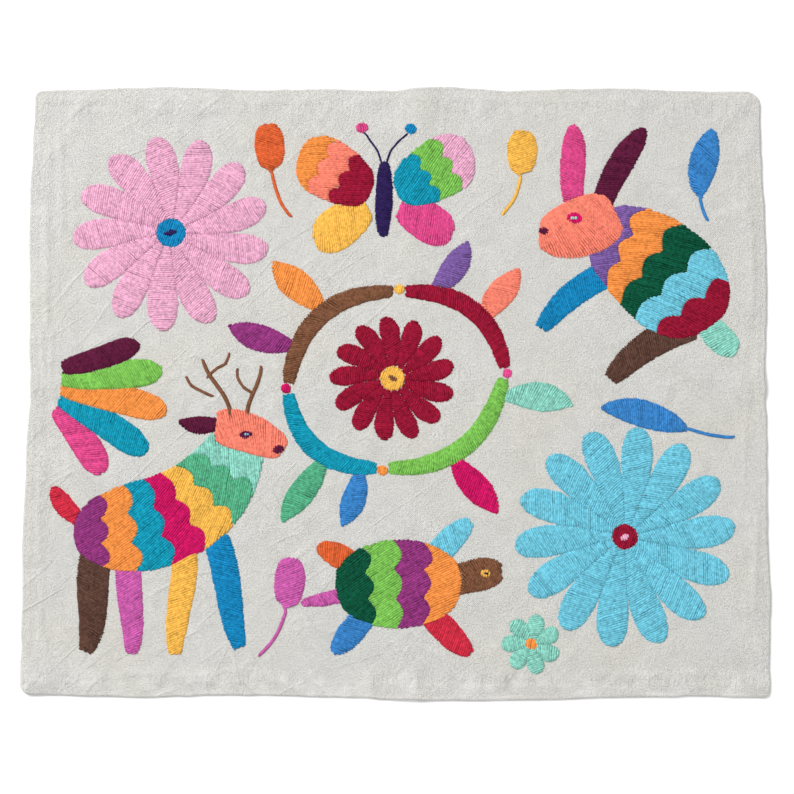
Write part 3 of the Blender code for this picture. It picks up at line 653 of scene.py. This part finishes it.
class Shader:
    """A node tree built in reading order."""

    def __init__(self, name):
        self.material = bpy.data.materials.new(name)
        self.material.use_nodes = True
        self.tree = self.material.node_tree
        self.surface = self.tree.nodes["Principled BSDF"]

    def add(self, kind, settings=(), **inputs):
        """A node, with its inputs by name, or by number after an underscore."""
        node = self.tree.nodes.new("ShaderNode" + kind)
        for name, value in dict(settings).items():
            setattr(node, name, value)
        for name, value in inputs.items():
            socket = node.inputs[int(name[1:]) if name[1:].isdigit() else name.replace("_", " ")]
            if isinstance(value, bpy.types.NodeSocket):
                self.tree.links.new(value, socket)
            else:
                socket.default_value = value
        return node

    def math(self, kind, a, b=0.0, c=0.0):
        return self.add("Math", {"operation": kind}, _0=a, _1=b, _2=c).outputs[0]

    def blend(self, start, *terms):
        """A start value plus each term's value times its weight."""
        for value, weight in terms:
            start = self.math("MULTIPLY_ADD", value, weight, start)
        return start

    def ramp(self, value, low, high, start=0.0, end=1.0, kind="LINEAR"):
        """A value carried from low and high to start and end, and held there outside."""
        settings = {"interpolation_type": kind}
        ends = {"From_Min": low, "From_Max": high, "To_Min": start, "To_Max": end}
        return self.add("MapRange", settings, Value=value, **ends).outputs[0]

    def noise(self, where, scale=1.0, detail=2.0, roughness=0.5, stretch=(1.0, 1.0, 1.0)):
        """Noise from 0 to 1 over places, stretched first."""
        if stretch != (1.0, 1.0, 1.0):
            where = self.add("Mapping", Vector=where, Scale=stretch).outputs[0]
        look = {"Scale": scale, "Detail": detail, "Roughness": roughness}
        return self.add("TexNoise", Vector=where, **look).outputs["Fac"]

    def mix(self, share, a, b, kind="MIX"):
        settings = {"data_type": "RGBA", "blend_type": kind}
        return self.add("Mix", settings, Factor=share, _6=a, _7=b).outputs[2]

    def split(self, where):
        return self.add("SeparateXYZ", Vector=where).outputs[:2]

    def finish(self, colour, relief, strength, depth, **surface):
        """Join colour and relief to the surface, set its own values, give the material."""
        bump = self.add("Bump", Strength=strength, Distance=depth * MM, Height=relief)
        self.tree.links.new(colour, self.surface.inputs["Base Color"])
        self.tree.links.new(bump.outputs[0], self.surface.inputs["Normal"])
        for name, value in surface.items():
            self.surface.inputs[name.replace("_", " ")].default_value = value
        return self.material


# Painted shade in the grooves at the strand sides: how dark and how sharp
GROOVE_PAINTED_SHADE = 0.2
GROOVE_SHADE_SHARP = 2.5
TONE_SPREAD = 0.045
# Painted shade along the plies of the twist
PLY_PAINTED_SHADE = 0.03
PLY_TURNS_PER_METRE = 1000 / 1.7
# Painted highlights along each strand: how strong, how often and how shuffled
PAINTED_SHEEN_SPREAD = 0.85
LENGTHS_PER_METRE = 520.0
LENGTH_SHUFFLE = 40.0
# How much more of the painted light and shade, and of the tone, dark yarns get
DARK_SPREAD = 0.9
VALUE_MIDDLE = 0.97
SATURATION = 0.99


def yarn_material(name, rgb):
    """Stranded cotton: each stitch its own tone, with a fine twist along it, and painted highlights and
    painted shade in its colour.
    """
    made = Shader("yarn_" + name)
    tone = made.add("Attribute", {"attribute_name": "tone"}).outputs["Fac"]
    across, run = made.split(made.add("UVMap", {"uv_map": "strand"}).outputs[0])
    turns = made.blend(across, (run, PLY_TURNS_PER_METRE))
    ply = made.math("SINE", made.math("MULTIPLY", turns, 2 * math.pi))
    # Painted highlights and shade: lighter and darker stretches along each strand, in place of the yarn's
    # sheen
    shuffle = made.math("MULTIPLY", tone, LENGTH_SHUFFLE)
    place = made.add("CombineXYZ", _0=shuffle, _1=made.math("MULTIPLY", run, LENGTHS_PER_METRE))
    painted_sheen = made.noise(place.outputs[0], detail=0.5)
    # Painted shade: each strand darker towards its two sides, in the groove where it meets the next
    side = made.math("ABSOLUTE", made.math("MULTIPLY_ADD", across, 2.0, -1.0))
    groove = made.math("POWER", side, GROOVE_SHADE_SHARP)
    # Dark yarns get stronger painted highlights and painted shade in the grooves than pale ones, and a
    # wider spread of tone
    lift = 1 + DARK_SPREAD * (1 - max(rgb) / 255)
    # The value: a random tone per strand, painted shade along the plies, painted highlights along the
    # strand and painted shade in the grooves
    value = made.blend(
        VALUE_MIDDLE - PAINTED_SHEEN_SPREAD * lift / 2, (tone, TONE_SPREAD * lift), (ply, PLY_PAINTED_SHADE),
        (painted_sheen, PAINTED_SHEEN_SPREAD * lift), (groove, -GROOVE_PAINTED_SHADE * lift))
    base = (*[linear(part) for part in rgb], 1.0)
    colour = made.add("HueSaturation", Color=base, Value=value, Saturation=SATURATION).outputs[0]
    return made.finish(colour, ply, 0.4, 0.15, Roughness=0.7, Specular_IOR_Level=0.04)


HEM_THREAD = (222, 221, 216)
COTTON_LIGHT = (0.730, 0.722, 0.690, 1.0)
COTTON_DARK = (0.560, 0.556, 0.532, 1.0)
COTTON_WARM = (1.0, 0.965, 0.90, 1.0)
# The painted light colour of the bottom hem
COTTON_HEM_LIT = (0.82, 0.80, 0.765, 1.0)
THREADS_PER_METRE = 1700.0
SLUBS = ((1300.0, 260.0, 1.0), (260.0, 1300.0, 1.0))

# Thin creases: the way they run in degrees, how close and how long, width and rise
FineCrease = namedtuple("FineCrease", "turn close long width rise")
FINE_CREASES = [
    FineCrease(52, 34.0, 8.0, 0.019, 1.15),
    FineCrease(44, 60.0, 10.0, 0.024, 0.70),
    FineCrease(-30, 46.0, 9.0, 0.021, 0.85),
]
CREASED_TO = 0.15
CREASED_LEFT = 1.1
CREASED_RIGHT = 0.25
# Tufts along the hems: stretch and rise, at the upright sides and at the top and bottom
TUFTS = (((60.0, 330.0, 1.0), 0.6), ((330.0, 60.0, 1.0), 1.3))
TUFT_REACH = 0.008
# Painted light on the bottom hem: patch stretch, where it fades in, and how strong
HEM_PATCH = (70.0, 110.0, 1.0)
HEM_PATCH_LOW = -0.184
HEM_PATCH_HIGH = -0.168
HEM_LIT_SHARE = 0.6


def fine_crease(made, where, side, kind):
    """Relief of thin lines where a stretched noise passes its middle value."""
    turn = (0.0, 0.0, math.radians(kind.turn))
    turned = made.add("Mapping", Vector=where, Rotation=turn).outputs[0]
    shift, scale = (kind.turn, 0.0, 0.0), (kind.close, kind.long, 1.0)
    run = made.add("Mapping", Vector=turned, Scale=scale, Location=shift).outputs[0]
    off = made.math("ABSOLUTE", made.math("SUBTRACT", made.noise(run, 1.0, 1.0, 0.4), 0.5))
    line = made.ramp(off, 0.0, kind.width, kind.rise, 0.0, "SMOOTHSTEP")
    patch = made.ramp(made.noise(turned, 22.0, 1.0), 0.44, 0.60)
    return made.math("MULTIPLY", line, made.math("MULTIPLY", patch, side))


def cotton_material():
    """Plain woven cotton: thread by thread relief, slubs, a soft mottle and painted light on the bottom
    hem.
    """
    made = Shader("cotton")
    where = made.add("TexCoord").outputs["Object"]
    drift = made.add("TexNoise", Vector=where, Scale=160.0, Detail=1.0).outputs["Color"]
    nudge = made.add("VectorMath", {"operation": "SCALE"}, Vector=drift, Scale=0.0012).outputs[0]
    x, y = made.split(made.add("VectorMath", {"operation": "ADD"}, _0=where, _1=nudge).outputs[0])
    turn = THREADS_PER_METRE * math.pi
    warp, weft = [made.math("SINE", made.math("MULTIPLY", at, turn)) for at in (x, y)]
    weave = made.math("MULTIPLY", warp, weft)
    grain = made.noise(where, 1000.0, 1.0, 0.6)
    slub = made.math("ADD", *[made.noise(where, detail=1.0, stretch=scale) for scale in SLUBS])
    mottle = made.noise(where, 55.0, 4.0)
    mixed = made.blend(0.0, (slub, 0.25), (mottle, 0.4), (grain, 1.1))
    colour = made.mix(made.ramp(mixed, 0.7, 1.3), COTTON_DARK, COTTON_LIGHT)
    # A faint warm cast in large soft patches, as unbleached cotton has
    warmth = made.ramp(made.noise(where, 16.0), 0.42, 0.72, 0.0, 0.55)
    colour = made.mix(warmth, colour, COTTON_WARM, "MULTIPLY")
    # Painted light: the bottom hem is lighter in soft patches, where the doubled cloth stands up and
    # catches more light
    low = made.ramp(y, HEM_PATCH_LOW, HEM_PATCH_HIGH, HEM_LIT_SHARE, 0.0, "SMOOTHSTEP")
    patch = made.ramp(made.noise(where, stretch=HEM_PATCH), 0.46, 0.66)
    colour = made.mix(made.math("MULTIPLY", low, patch), colour, COTTON_HEM_LIT)
    relief = made.blend(0.0, (weave, 0.35), (slub, 0.5), (grain, 2.6))
    # The left of the cloth is the most creased
    side = made.ramp(
        made.split(where)[0], -CREASED_TO, CREASED_TO, CREASED_LEFT, CREASED_RIGHT, "SMOOTHSTEP")
    for kind in FINE_CREASES:
        relief = made.math("ADD", relief, fine_crease(made, where, side, kind))
    inner = ((HALF_X - HEM_X) * MM, (HALF_Y - HEM_Y) * MM)
    for at, half, (scale, rise) in zip((x, y), inner, TUFTS):
        off = made.math("ABSOLUTE", made.math("SUBTRACT", half, made.math("ABSOLUTE", at)))
        near = made.ramp(off, 0.0, TUFT_REACH, rise, 0.0, "SMOOTHSTEP")
        tuft = made.ramp(made.noise(where, stretch=scale), 0.5, 0.75)
        relief = made.math("MULTIPLY_ADD", near, tuft, relief)
    return made.finish(colour, relief, 1.0, 0.35, Roughness=0.9, Specular_IOR_Level=0.2,
                       Sheen_Weight=0.15, Sheen_Roughness=0.6)


COTTON = cotton_material()
YARN = {name: yarn_material(name, rgb) for name, rgb in YARNS.items()}
YARN["hem"] = yarn_material("hem", HEM_THREAD)


# Meshes


def place_object(name, points, faces, material):
    """A smooth mesh object from points in millimetres."""
    mesh = bpy.data.meshes.new(name)
    moved = (np.asarray(points) - (MIDDLE_X, MIDDLE_Y, 0)) * MM
    sizes = np.array([len(face) for face in faces], dtype=np.int32)
    corners = np.concatenate(list(faces)).astype(np.int32)
    mesh.vertices.add(len(moved))
    mesh.vertices.foreach_set("co", moved.astype(np.float32).ravel())
    mesh.loops.add(len(corners))
    mesh.loops.foreach_set("vertex_index", corners)
    mesh.polygons.add(len(sizes))
    mesh.polygons.foreach_set("loop_start", np.cumsum(sizes, dtype=np.int32) - sizes)
    mesh.update(calc_edges=True)
    mesh.validate()
    mesh.shade_smooth()
    mesh.materials.append(material)
    made = bpy.data.objects.new(name, mesh)
    bpy.context.scene.collection.objects.link(made)
    return made


def sheet_lines(half):
    inner = half - RIM_STEPS[-1]
    cells = math.ceil(2 * inner / INNER_CELL)
    low = [-half + step for step in RIM_STEPS]
    middle = [-inner + 2 * inner * k / cells for k in range(1, cells)]
    return np.array(low + middle + [-value for value in reversed(low)])


def hem_lift(x, y, from_x, from_y):
    """How much the turned-under hem raises the top, and how its stitches hold it down."""
    over = np.maximum(HEM_X - from_x, HEM_Y - from_y) + HEM_WANDER * noise(x, y, 24, 8)
    doubled = np.clip((over + 0.6) / HEM_SLOPE, 0, 1)
    lift = HEM_RISE * doubled * doubled * (3 - 2 * doubled)
    return lift - HEM_DIP * fade(np.minimum(from_x, from_y) - HEM_LINE, 0.9)


def under_faces(rows, columns, index):
    """Coarse cells below, which take in every point of the rim."""
    marks_i = sorted({*range(0, rows - 1, UNDER_STRIDE), rows - 1})
    marks_j = sorted({*range(0, columns - 1, UNDER_STRIDE), columns - 1})
    faces = []
    for i0, i1 in zip(marks_i, marks_i[1:]):
        for j0, j1 in zip(marks_j, marks_j[1:]):
            face = [index[i0, j0]]
            if i0 == 0:
                face += list(index[0, j0 + 1:j1])
            face.append(index[i0, j1])
            if j1 == columns - 1:
                face += list(index[i0 + 1:i1, j1])
            face.append(index[i1, j1])
            if i1 == rows - 1:
                face += list(index[i1, j1 - 1:j0:-1])
            face.append(index[i1, j0])
            if j0 == 0:
                face += list(index[i1 - 1:i0:-1, 0])
            faces.append(face)
    return faces


def make_sheet():
    """The hemmed sheet, closed, thin and lying on the height field."""
    lines = sheet_lines(HALF_X), sheet_lines(HALF_Y)
    gx, gy = np.meshgrid(*lines, indexing="ij")
    from_x, from_y = HALF_X - np.abs(gx), HALF_Y - np.abs(gy)
    edge = np.minimum(from_x, from_y)
    x, y = on_cloth(gx, gy)
    fray = FRAY * np.clip(1 - edge / FRAY_REACH, 0, 1)
    x = x + fray * noise(gx + 300, gy, FRAY_CELL, 5)
    y = y + fray * noise(gx, gy + 300, FRAY_CELL, 6)
    under = ground(x, y)
    rim = np.sqrt(np.clip(edge / RIM_REACH, 0, 1))
    thick = SHEET_THICK * (RIM_THIN + (1 - RIM_THIN) * rim)
    top = under + thick + hem_lift(x, y, from_x, from_y) * rim
    rows, columns = gx.shape
    count = rows * columns
    points = np.concatenate([np.stack([x, y, z], -1).reshape(-1, 3) for z in (top, under)])
    index = np.arange(count).reshape(rows, columns)
    upper = np.stack([index[:-1, :-1], index[1:, :-1], index[1:, 1:], index[:-1, 1:]], -1)
    loop = np.concatenate([index[0, :-1], index[:-1, -1], index[-1, :0:-1], index[:0:-1, 0]])
    after = np.roll(loop, -1)
    wall = np.stack([loop, after, after + count, loop + count], -1)
    faces = np.concatenate([upper.reshape(-1, 4), wall]).tolist()
    faces += under_faces(rows, columns, index + count)
    used = np.unique(np.concatenate([np.asarray(face) for face in faces]))
    renumber = np.full(2 * count, -1)
    renumber[used] = np.arange(len(used))
    return place_object("cloth_sheet", points[used], [renumber[face] for face in faces], COTTON)


class Stitching:
    """Collects the strands of one area, and makes them one mesh."""

    def __init__(self, name, yarn, seed):
        self.name, self.yarn = name, yarn
        self.chance = np.random.default_rng(seed)
        self.points, self.faces, self.maps, self.tones = [], [], [], []
        self.count = 0

    def strand(self, a, b, raised=0.0, size=1.0, dome=DOME, wave=WAVE, least=FEWEST_STEPS):
        """One stitch from hole a to hole b, a closed strand that waves with its neighbours."""
        a, b = np.asarray(a, float), np.asarray(b, float)
        length = float(np.hypot(*(b - a)))
        if length < SHORTEST:
            return
        steps = max(least, math.ceil(length / LONGEST_STEP) + 1)
        t = np.arange(steps + 1) / steps
        t = t + END_BUNCH * np.sin(-2 * np.pi * t)
        way = (b - a) / length
        left = np.array([-way[1], way[0]])
        middle = a + t[:, None] * length * way
        swerve = wave * noise(middle[:, 0], middle[:, 1], WAVE_CELL, 21) * min(1.0, length / WAVE_FULL)
        own = self.chance.normal(0, OWN_WAVE, math.ceil(length / OWN_WAVE_CELL) + 3)
        swerve = swerve + np.interp(t * length / OWN_WAVE_CELL, np.arange(len(own)), own)
        middle = middle + swerve[:, None] * left
        size = size * (1 + SIZE_SPREAD * self.chance.normal())
        off = np.abs(2 * t - 1)
        flat = 1 - off ** max(2.0, length / END_RUN)
        rise = -SINK + (PLATEAU + SINK + raised + RISE_SPREAD * self.chance.normal()) * flat
        rise = rise + dome * min(1.0, length / DOME_FULL) * (1 - off * off)
        base = ground(middle[:, 0], middle[:, 1]) + SHEET_THICK + rise
        wide = size * (END_WIDTH + (1 - END_WIDTH) * flat)
        section = np.array(SECTION)
        ring = middle[:, None, :] + (wide[:, None] * section[:, 0])[:, :, None] * left
        high = base[:, None] + size * section[:, 1]
        sides = len(section)
        self.points.append(np.concatenate([ring, high[:, :, None]], -1).reshape(-1, 3))
        index = np.arange((steps + 1) * sides).reshape(steps + 1, sides) + self.count
        around = np.roll(index, -1, axis=1)
        p, q, r, s = index[:-1], around[:-1], around[1:], index[1:]
        self.faces += np.stack([s, r, q, p], -1).reshape(-1, 4).tolist()
        self.faces += [index[0].tolist(), index[-1, ::-1].tolist()]
        run = np.broadcast_to((t * length * MM)[:, None], index.shape)
        across = np.broadcast_to(np.linspace(0, 1, sides), index.shape)
        self.maps.append(np.stack([across, run], -1).reshape(-1, 2))
        self.tones.append(np.full(index.size, self.chance.normal()))
        self.count += index.size

    def fill(self, stitches, **look):
        for ends in stitches:
            self.strand(*ends, **look)

    def make(self):
        made = place_object(self.name, np.concatenate(self.points), self.faces, YARN[self.yarn])
        mesh = made.data
        tones = mesh.attributes.new("tone", "FLOAT", "POINT")
        tones.data.foreach_set("value", np.concatenate(self.tones).astype(np.float32))
        layer = mesh.uv_layers.new(name="strand")
        corners = np.zeros(len(mesh.loops), np.int32)
        mesh.loops.foreach_get("vertex_index", corners)
        layer.data.foreach_set("uv", np.concatenate(self.maps)[corners].astype(np.float32).ravel())
        return made


def clear_part(a, b, keep_off):
    """The longest part of a straight stitch that stays off another area."""
    if keep_off is None:
        return a, b
    t = np.linspace(0, 1, 41)
    free = ~inside(a + t[:, None] * (b - a), keep_off)
    runs = np.flatnonzero(np.diff([0, *free, 0])).reshape(-1, 2)
    if not len(runs):
        return None
    first, last = runs[np.argmax(runs[:, 1] - runs[:, 0])]
    if last - first < 2:
        return None
    return a + t[first] * (b - a), a + t[last - 1] * (b - a)


def crossings(outline, place, way):
    """Where a straight line crosses an outline, in distances along its way, in order."""
    left = np.array([-way[1], way[0]])
    off, at = (outline - place) @ left, (outline - place) @ way
    next_off, next_at = np.roll(off, -1), np.roll(at, -1)
    hit = (off > 0) != (next_off > 0)
    off, at, next_off, next_at = off[hit], at[hit], next_off[hit], next_at[hit]
    return np.sort(at + (next_at - at) * off / (off - next_off))


def sew_stalk(work, row, line, run):
    """A rope of long stitches that overlap down a stalk."""
    shares = np.linspace(0, 1, len(line))
    share = 1.0 if row.width <= THIN_BLADE else row.stalk
    for at in np.arange(0.4, share * run[-1], STALK_ADVANCE):
        first, last = np.interp([at - STALK_STITCH / 2, at + STALK_STITCH / 2], run, shares)
        work.strand(blade_place(row, first, 0.28), blade_place(row, last, 0.72), size=0.8, wave=0.2)


def length_along(places):
    """How far each place of a line is from its start."""
    return np.concatenate([[0], np.cumsum(np.hypot(*np.diff(places, axis=0).T))])


def sew_blade(work, row):
    """Slanted stitches across a blade, side by side from end to end."""
    line = np.array([spine(row, k / SPINE_STEPS)[:2] for k in range(SPINE_STEPS + 1)])
    run = length_along(line)
    if row.stalk or row.width <= THIN_BLADE:
        sew_stalk(work, row, line, run)
    if row.width <= THIN_BLADE:
        return
    outline = OUTLINES[row.name]
    slant = math.radians(SLANT * work.chance.uniform(0.75, 1.2) * work.chance.choice([-1, 1]))
    over = row.width / 2 * math.tan(abs(slant))
    begin = row.stalk * run[-1] if row.stalk else -over
    for at in np.arange(begin + 0.4, run[-1] + over, PITCH / math.cos(slant)):
        near = min(max(at, 0.0), run[-1])
        share = float(np.interp(near, run, np.linspace(0, 1, len(run))))
        x, y, nx, ny = spine(row, share)
        place = np.array([x + ny * (at - near), y - nx * (at - near)])
        c, s = math.cos(slant), math.sin(slant)
        way = np.array([nx * c - ny * s, nx * s + ny * c])
        hits = crossings(outline, place, way)
        if len(hits) < 2:
            continue
        pairs = hits[:len(hits) // 2 * 2].reshape(-1, 2)
        first, last = pairs[np.argmin(np.abs(pairs.sum(1)))]
        ragged = work.chance.normal(0.15, RAGGED, 2)
        ends = place + way * (first - ragged[0]), place + way * (last + ragged[1])
        ends = clear_part(*ends, KEEP_OFF.get(row.under))
        if ends is not None:
            work.strand(*ends)


def hatch(outline, angle, chance, keep_off=None):
    """Parallel stitches that fill an outline, each with slightly ragged ends."""
    c, s = math.cos(math.radians(angle)), math.sin(math.radians(angle))
    along, across = np.array([c, s]), np.array([-s, c])
    low, high = (outline @ across).min(), (outline @ across).max()
    rows = max(2, round((high - low) / PITCH))
    stitches = []
    for k in range(rows):
        level = low + (high - low) * (k + 0.5) / rows + 0.035 * chance.normal()
        hits = crossings(outline, across * level, along)
        for first, last in zip(hits[::2], hits[1::2]):
            first, last = first - chance.normal(0.3, RAGGED), last + chance.normal(0.3, RAGGED)
            if last - first < 0.8:
                continue
            ends = [along * end + across * level for end in (first, last)]
            ends = clear_part(*ends, keep_off)
            if ends is not None:
                stitches.append(ends)
    return stitches


def sew_band(work, body, k):
    """Slanted stitches across one band of a body."""
    nx, ny = spine(body.blade, (body.cuts[k] + body.cuts[k + 1]) / 2)[2:]
    angle = math.degrees(math.atan2(-nx, ny)) + HATCH_SLANT
    work.fill(hatch(band_outline(body, k), angle, work.chance, KEEP_OFF.get(body.blade.under)))


def petal_outline(f, petal):
    """A petal's outline, from the core out along one side and back along the other."""
    rhos = f.core + (f.radius - f.core) * np.sin(np.linspace(0, np.pi / 2, 30))
    there = [flower_place(f, petal, rho, -petal_limit(f, rho)) for rho in rhos]
    back = [flower_place(f, petal, rho, petal_limit(f, rho)) for rho in reversed(rhos[:-1])]
    return np.array(there + back)


def sew_flower(work, f):
    """Slanted stitches across each petal, which leave a groove between petals."""
    for petal in range(f.petals):
        outline = petal_outline(f, petal)
        x, y = flower_place(f, petal, (f.core + f.radius) / 2, 0)
        outward = math.degrees(math.atan2(y - f.centre[1], x - f.centre[0]))
        slant = SLANT * work.chance.uniform(0.3, 1.2)
        work.fill(hatch(outline, outward + 90 + slant, work.chance))


def sew_disc(work, disc):
    outline = round_outline(disc.centre, 2 * disc.radius, 2 * disc.radius)
    work.fill(hatch(outline, 70, work.chance), dome=0.3)


def sew_mark(work, mark):
    outline = round_outline(mark.centre, mark.across, mark.high, mark.angle)
    work.fill(hatch(outline, mark.angle + 80, work.chance), raised=mark.raised, dome=0.25)


def sew_line(work, line):
    """Stem stitch: short slanted strands that overlap along a line."""
    knots = np.array(line.points, float)
    run = length_along(knots)
    at = 0.0
    while at < run[-1] - 0.5:
        ends = []
        for side, t in ((-1, at), (1, min(run[-1], at + LINE_STITCH))):
            x, y = np.interp(t, run, knots[:, 0]), np.interp(t, run, knots[:, 1])
            dx, dy = [np.diff(np.interp([t - 0.5, t + 0.5], run, way))[0] for way in knots.T]
            reach = side * line.width / 4 / max(1e-6, math.hypot(dx, dy))
            ends.append((x - dy * reach, y + dx * reach))
        work.strand(*ends, size=line.width / 2.4, dome=0.15, wave=0.0)
        at += LINE_ADVANCE


def sew_hem():
    """A row of small running stitches near the four sides."""
    work = Stitching("hem_stitches", "hem", 7)
    half_x, half_y = HALF_X - HEM_LINE, HALF_Y - HEM_LINE
    corners = [(-half_x, -half_y), (half_x, -half_y), (half_x, half_y), (-half_x, half_y)]
    for (x0, y0), (x1, y1) in zip(corners, corners[1:] + corners[:1]):
        length = math.hypot(x1 - x0, y1 - y0)
        ux, uy = (x1 - x0) / length, (y1 - y0) / length
        at = 3.0
        while at < length - 5:
            drift = HEM_DRIFT * work.chance.normal()
            t = np.array([at, at + HEM_STITCH * work.chance.uniform(0.8, 1.2)])
            ends = on_cloth(x0 + ux * t + uy * drift, y0 + uy * t - ux * drift)
            work.strand(*np.transpose(ends), raised=HEM_RISE - 0.3, size=0.42, dome=0.0, wave=0.0, least=3)
            at += HEM_STITCH + HEM_GAP * work.chance.uniform(0.8, 1.25)
    return work.make()


def dress(made, node=None):
    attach(made, "root")
    if node:
        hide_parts(node)
    return made


def sew_all():
    """Every area of yarn, one mesh for each colour of each motif."""
    areas = [(row.name, row.name, row.yarn, sew_blade, (row,)) for row in BLADES]
    for body in BODIES:
        node = body.blade.name
        for k, yarn in enumerate(body.yarns):
            areas.append((f"{node}_{k}", node, yarn, sew_band, (body, k)))
    for rows, sew in ((FLOWERS, sew_flower), (DISCS, sew_disc)):
        areas += [(row.name, row.name, row.yarn, sew, (row,)) for row in rows]
    for rows, sew in ((MARKS, sew_mark), (LINES, sew_line)):
        areas += [(row.name, None, row.yarn, sew, (row,)) for row in rows]
    made = []
    for seed, (name, node, yarn, sew, area) in enumerate(areas, FIRST_SEED):
        work = Stitching("sewn_" + name, yarn, seed)
        sew(work, *area)
        made.append(dress(work.make(), node))
    return made


sheet = dress(make_sheet(), "cloth")
sewn = sew_all()
sewn.append(dress(sew_hem()))


# The stage: floor, light and camera

FLOOR_SIZE = 16.0
FLOOR_DROP = 0.3
FLOOR_PAINT = (0.93, 0.93, 0.93, 1)
# Each light's place and size in metres, and its power in watts
LIGHTS = {"key": ((-1.85, 1.5, 2.0), 1.1, 85.0), "fill": ((1.6, -1.2, 2.2), 2.0, 20.0)}
WORLD_LIGHT = 0.50
CAMERA_PLACE = (10.65, -132.91, 1163.25)
CAMERA_TURN = (6.256, 0.473, 0.24)
LENS = 85.0


def make_floor():
    mesh = bpy.data.meshes.new("floor")
    half, drop = FLOOR_SIZE / 2, -FLOOR_DROP * MM
    corners = [(-half, -half, drop), (half, -half, drop), (half, half, drop), (-half, half, drop)]
    mesh.from_pydata(corners, [], [(0, 1, 2, 3)])
    made = bpy.data.objects.new("floor", mesh)
    paint = Shader("floor_paint")
    paint.surface.inputs["Base Color"].default_value = FLOOR_PAINT
    paint.surface.inputs["Roughness"].default_value = 0.9
    mesh.materials.append(paint.material)
    bpy.context.scene.collection.objects.link(made)


def make_light(name, place, size, watts):
    """A square soft light that looks at the middle of the cloth."""
    data = bpy.data.lights.new(name, "AREA")
    data.shape = "SQUARE"
    data.size = size
    data.energy = watts
    made = bpy.data.objects.new(name, data)
    bpy.context.scene.collection.objects.link(made)
    made.location = place
    made.rotation_euler = (-Vector(place)).to_track_quat("-Z", "Y").to_euler()


def make_stage():
    make_floor()
    for name, values in LIGHTS.items():
        make_light(name, *values)
    world = bpy.data.worlds.new("studio")
    world.use_nodes = True
    world.node_tree.nodes["Background"].inputs["Color"].default_value = (1, 1, 1, 1)
    world.node_tree.nodes["Background"].inputs["Strength"].default_value = WORLD_LIGHT
    bpy.context.scene.world = world
    bpy.context.scene.view_settings.view_transform = "Standard"
    camera = bpy.data.cameras.new("camera")
    camera.lens = LENS
    made = bpy.data.objects.new("camera", camera)
    bpy.context.scene.collection.objects.link(made)
    made.location = [value * MM for value in CAMERA_PLACE]
    made.rotation_euler = [math.radians(value) for value in CAMERA_TURN]
    bpy.context.scene.camera = made


make_stage()
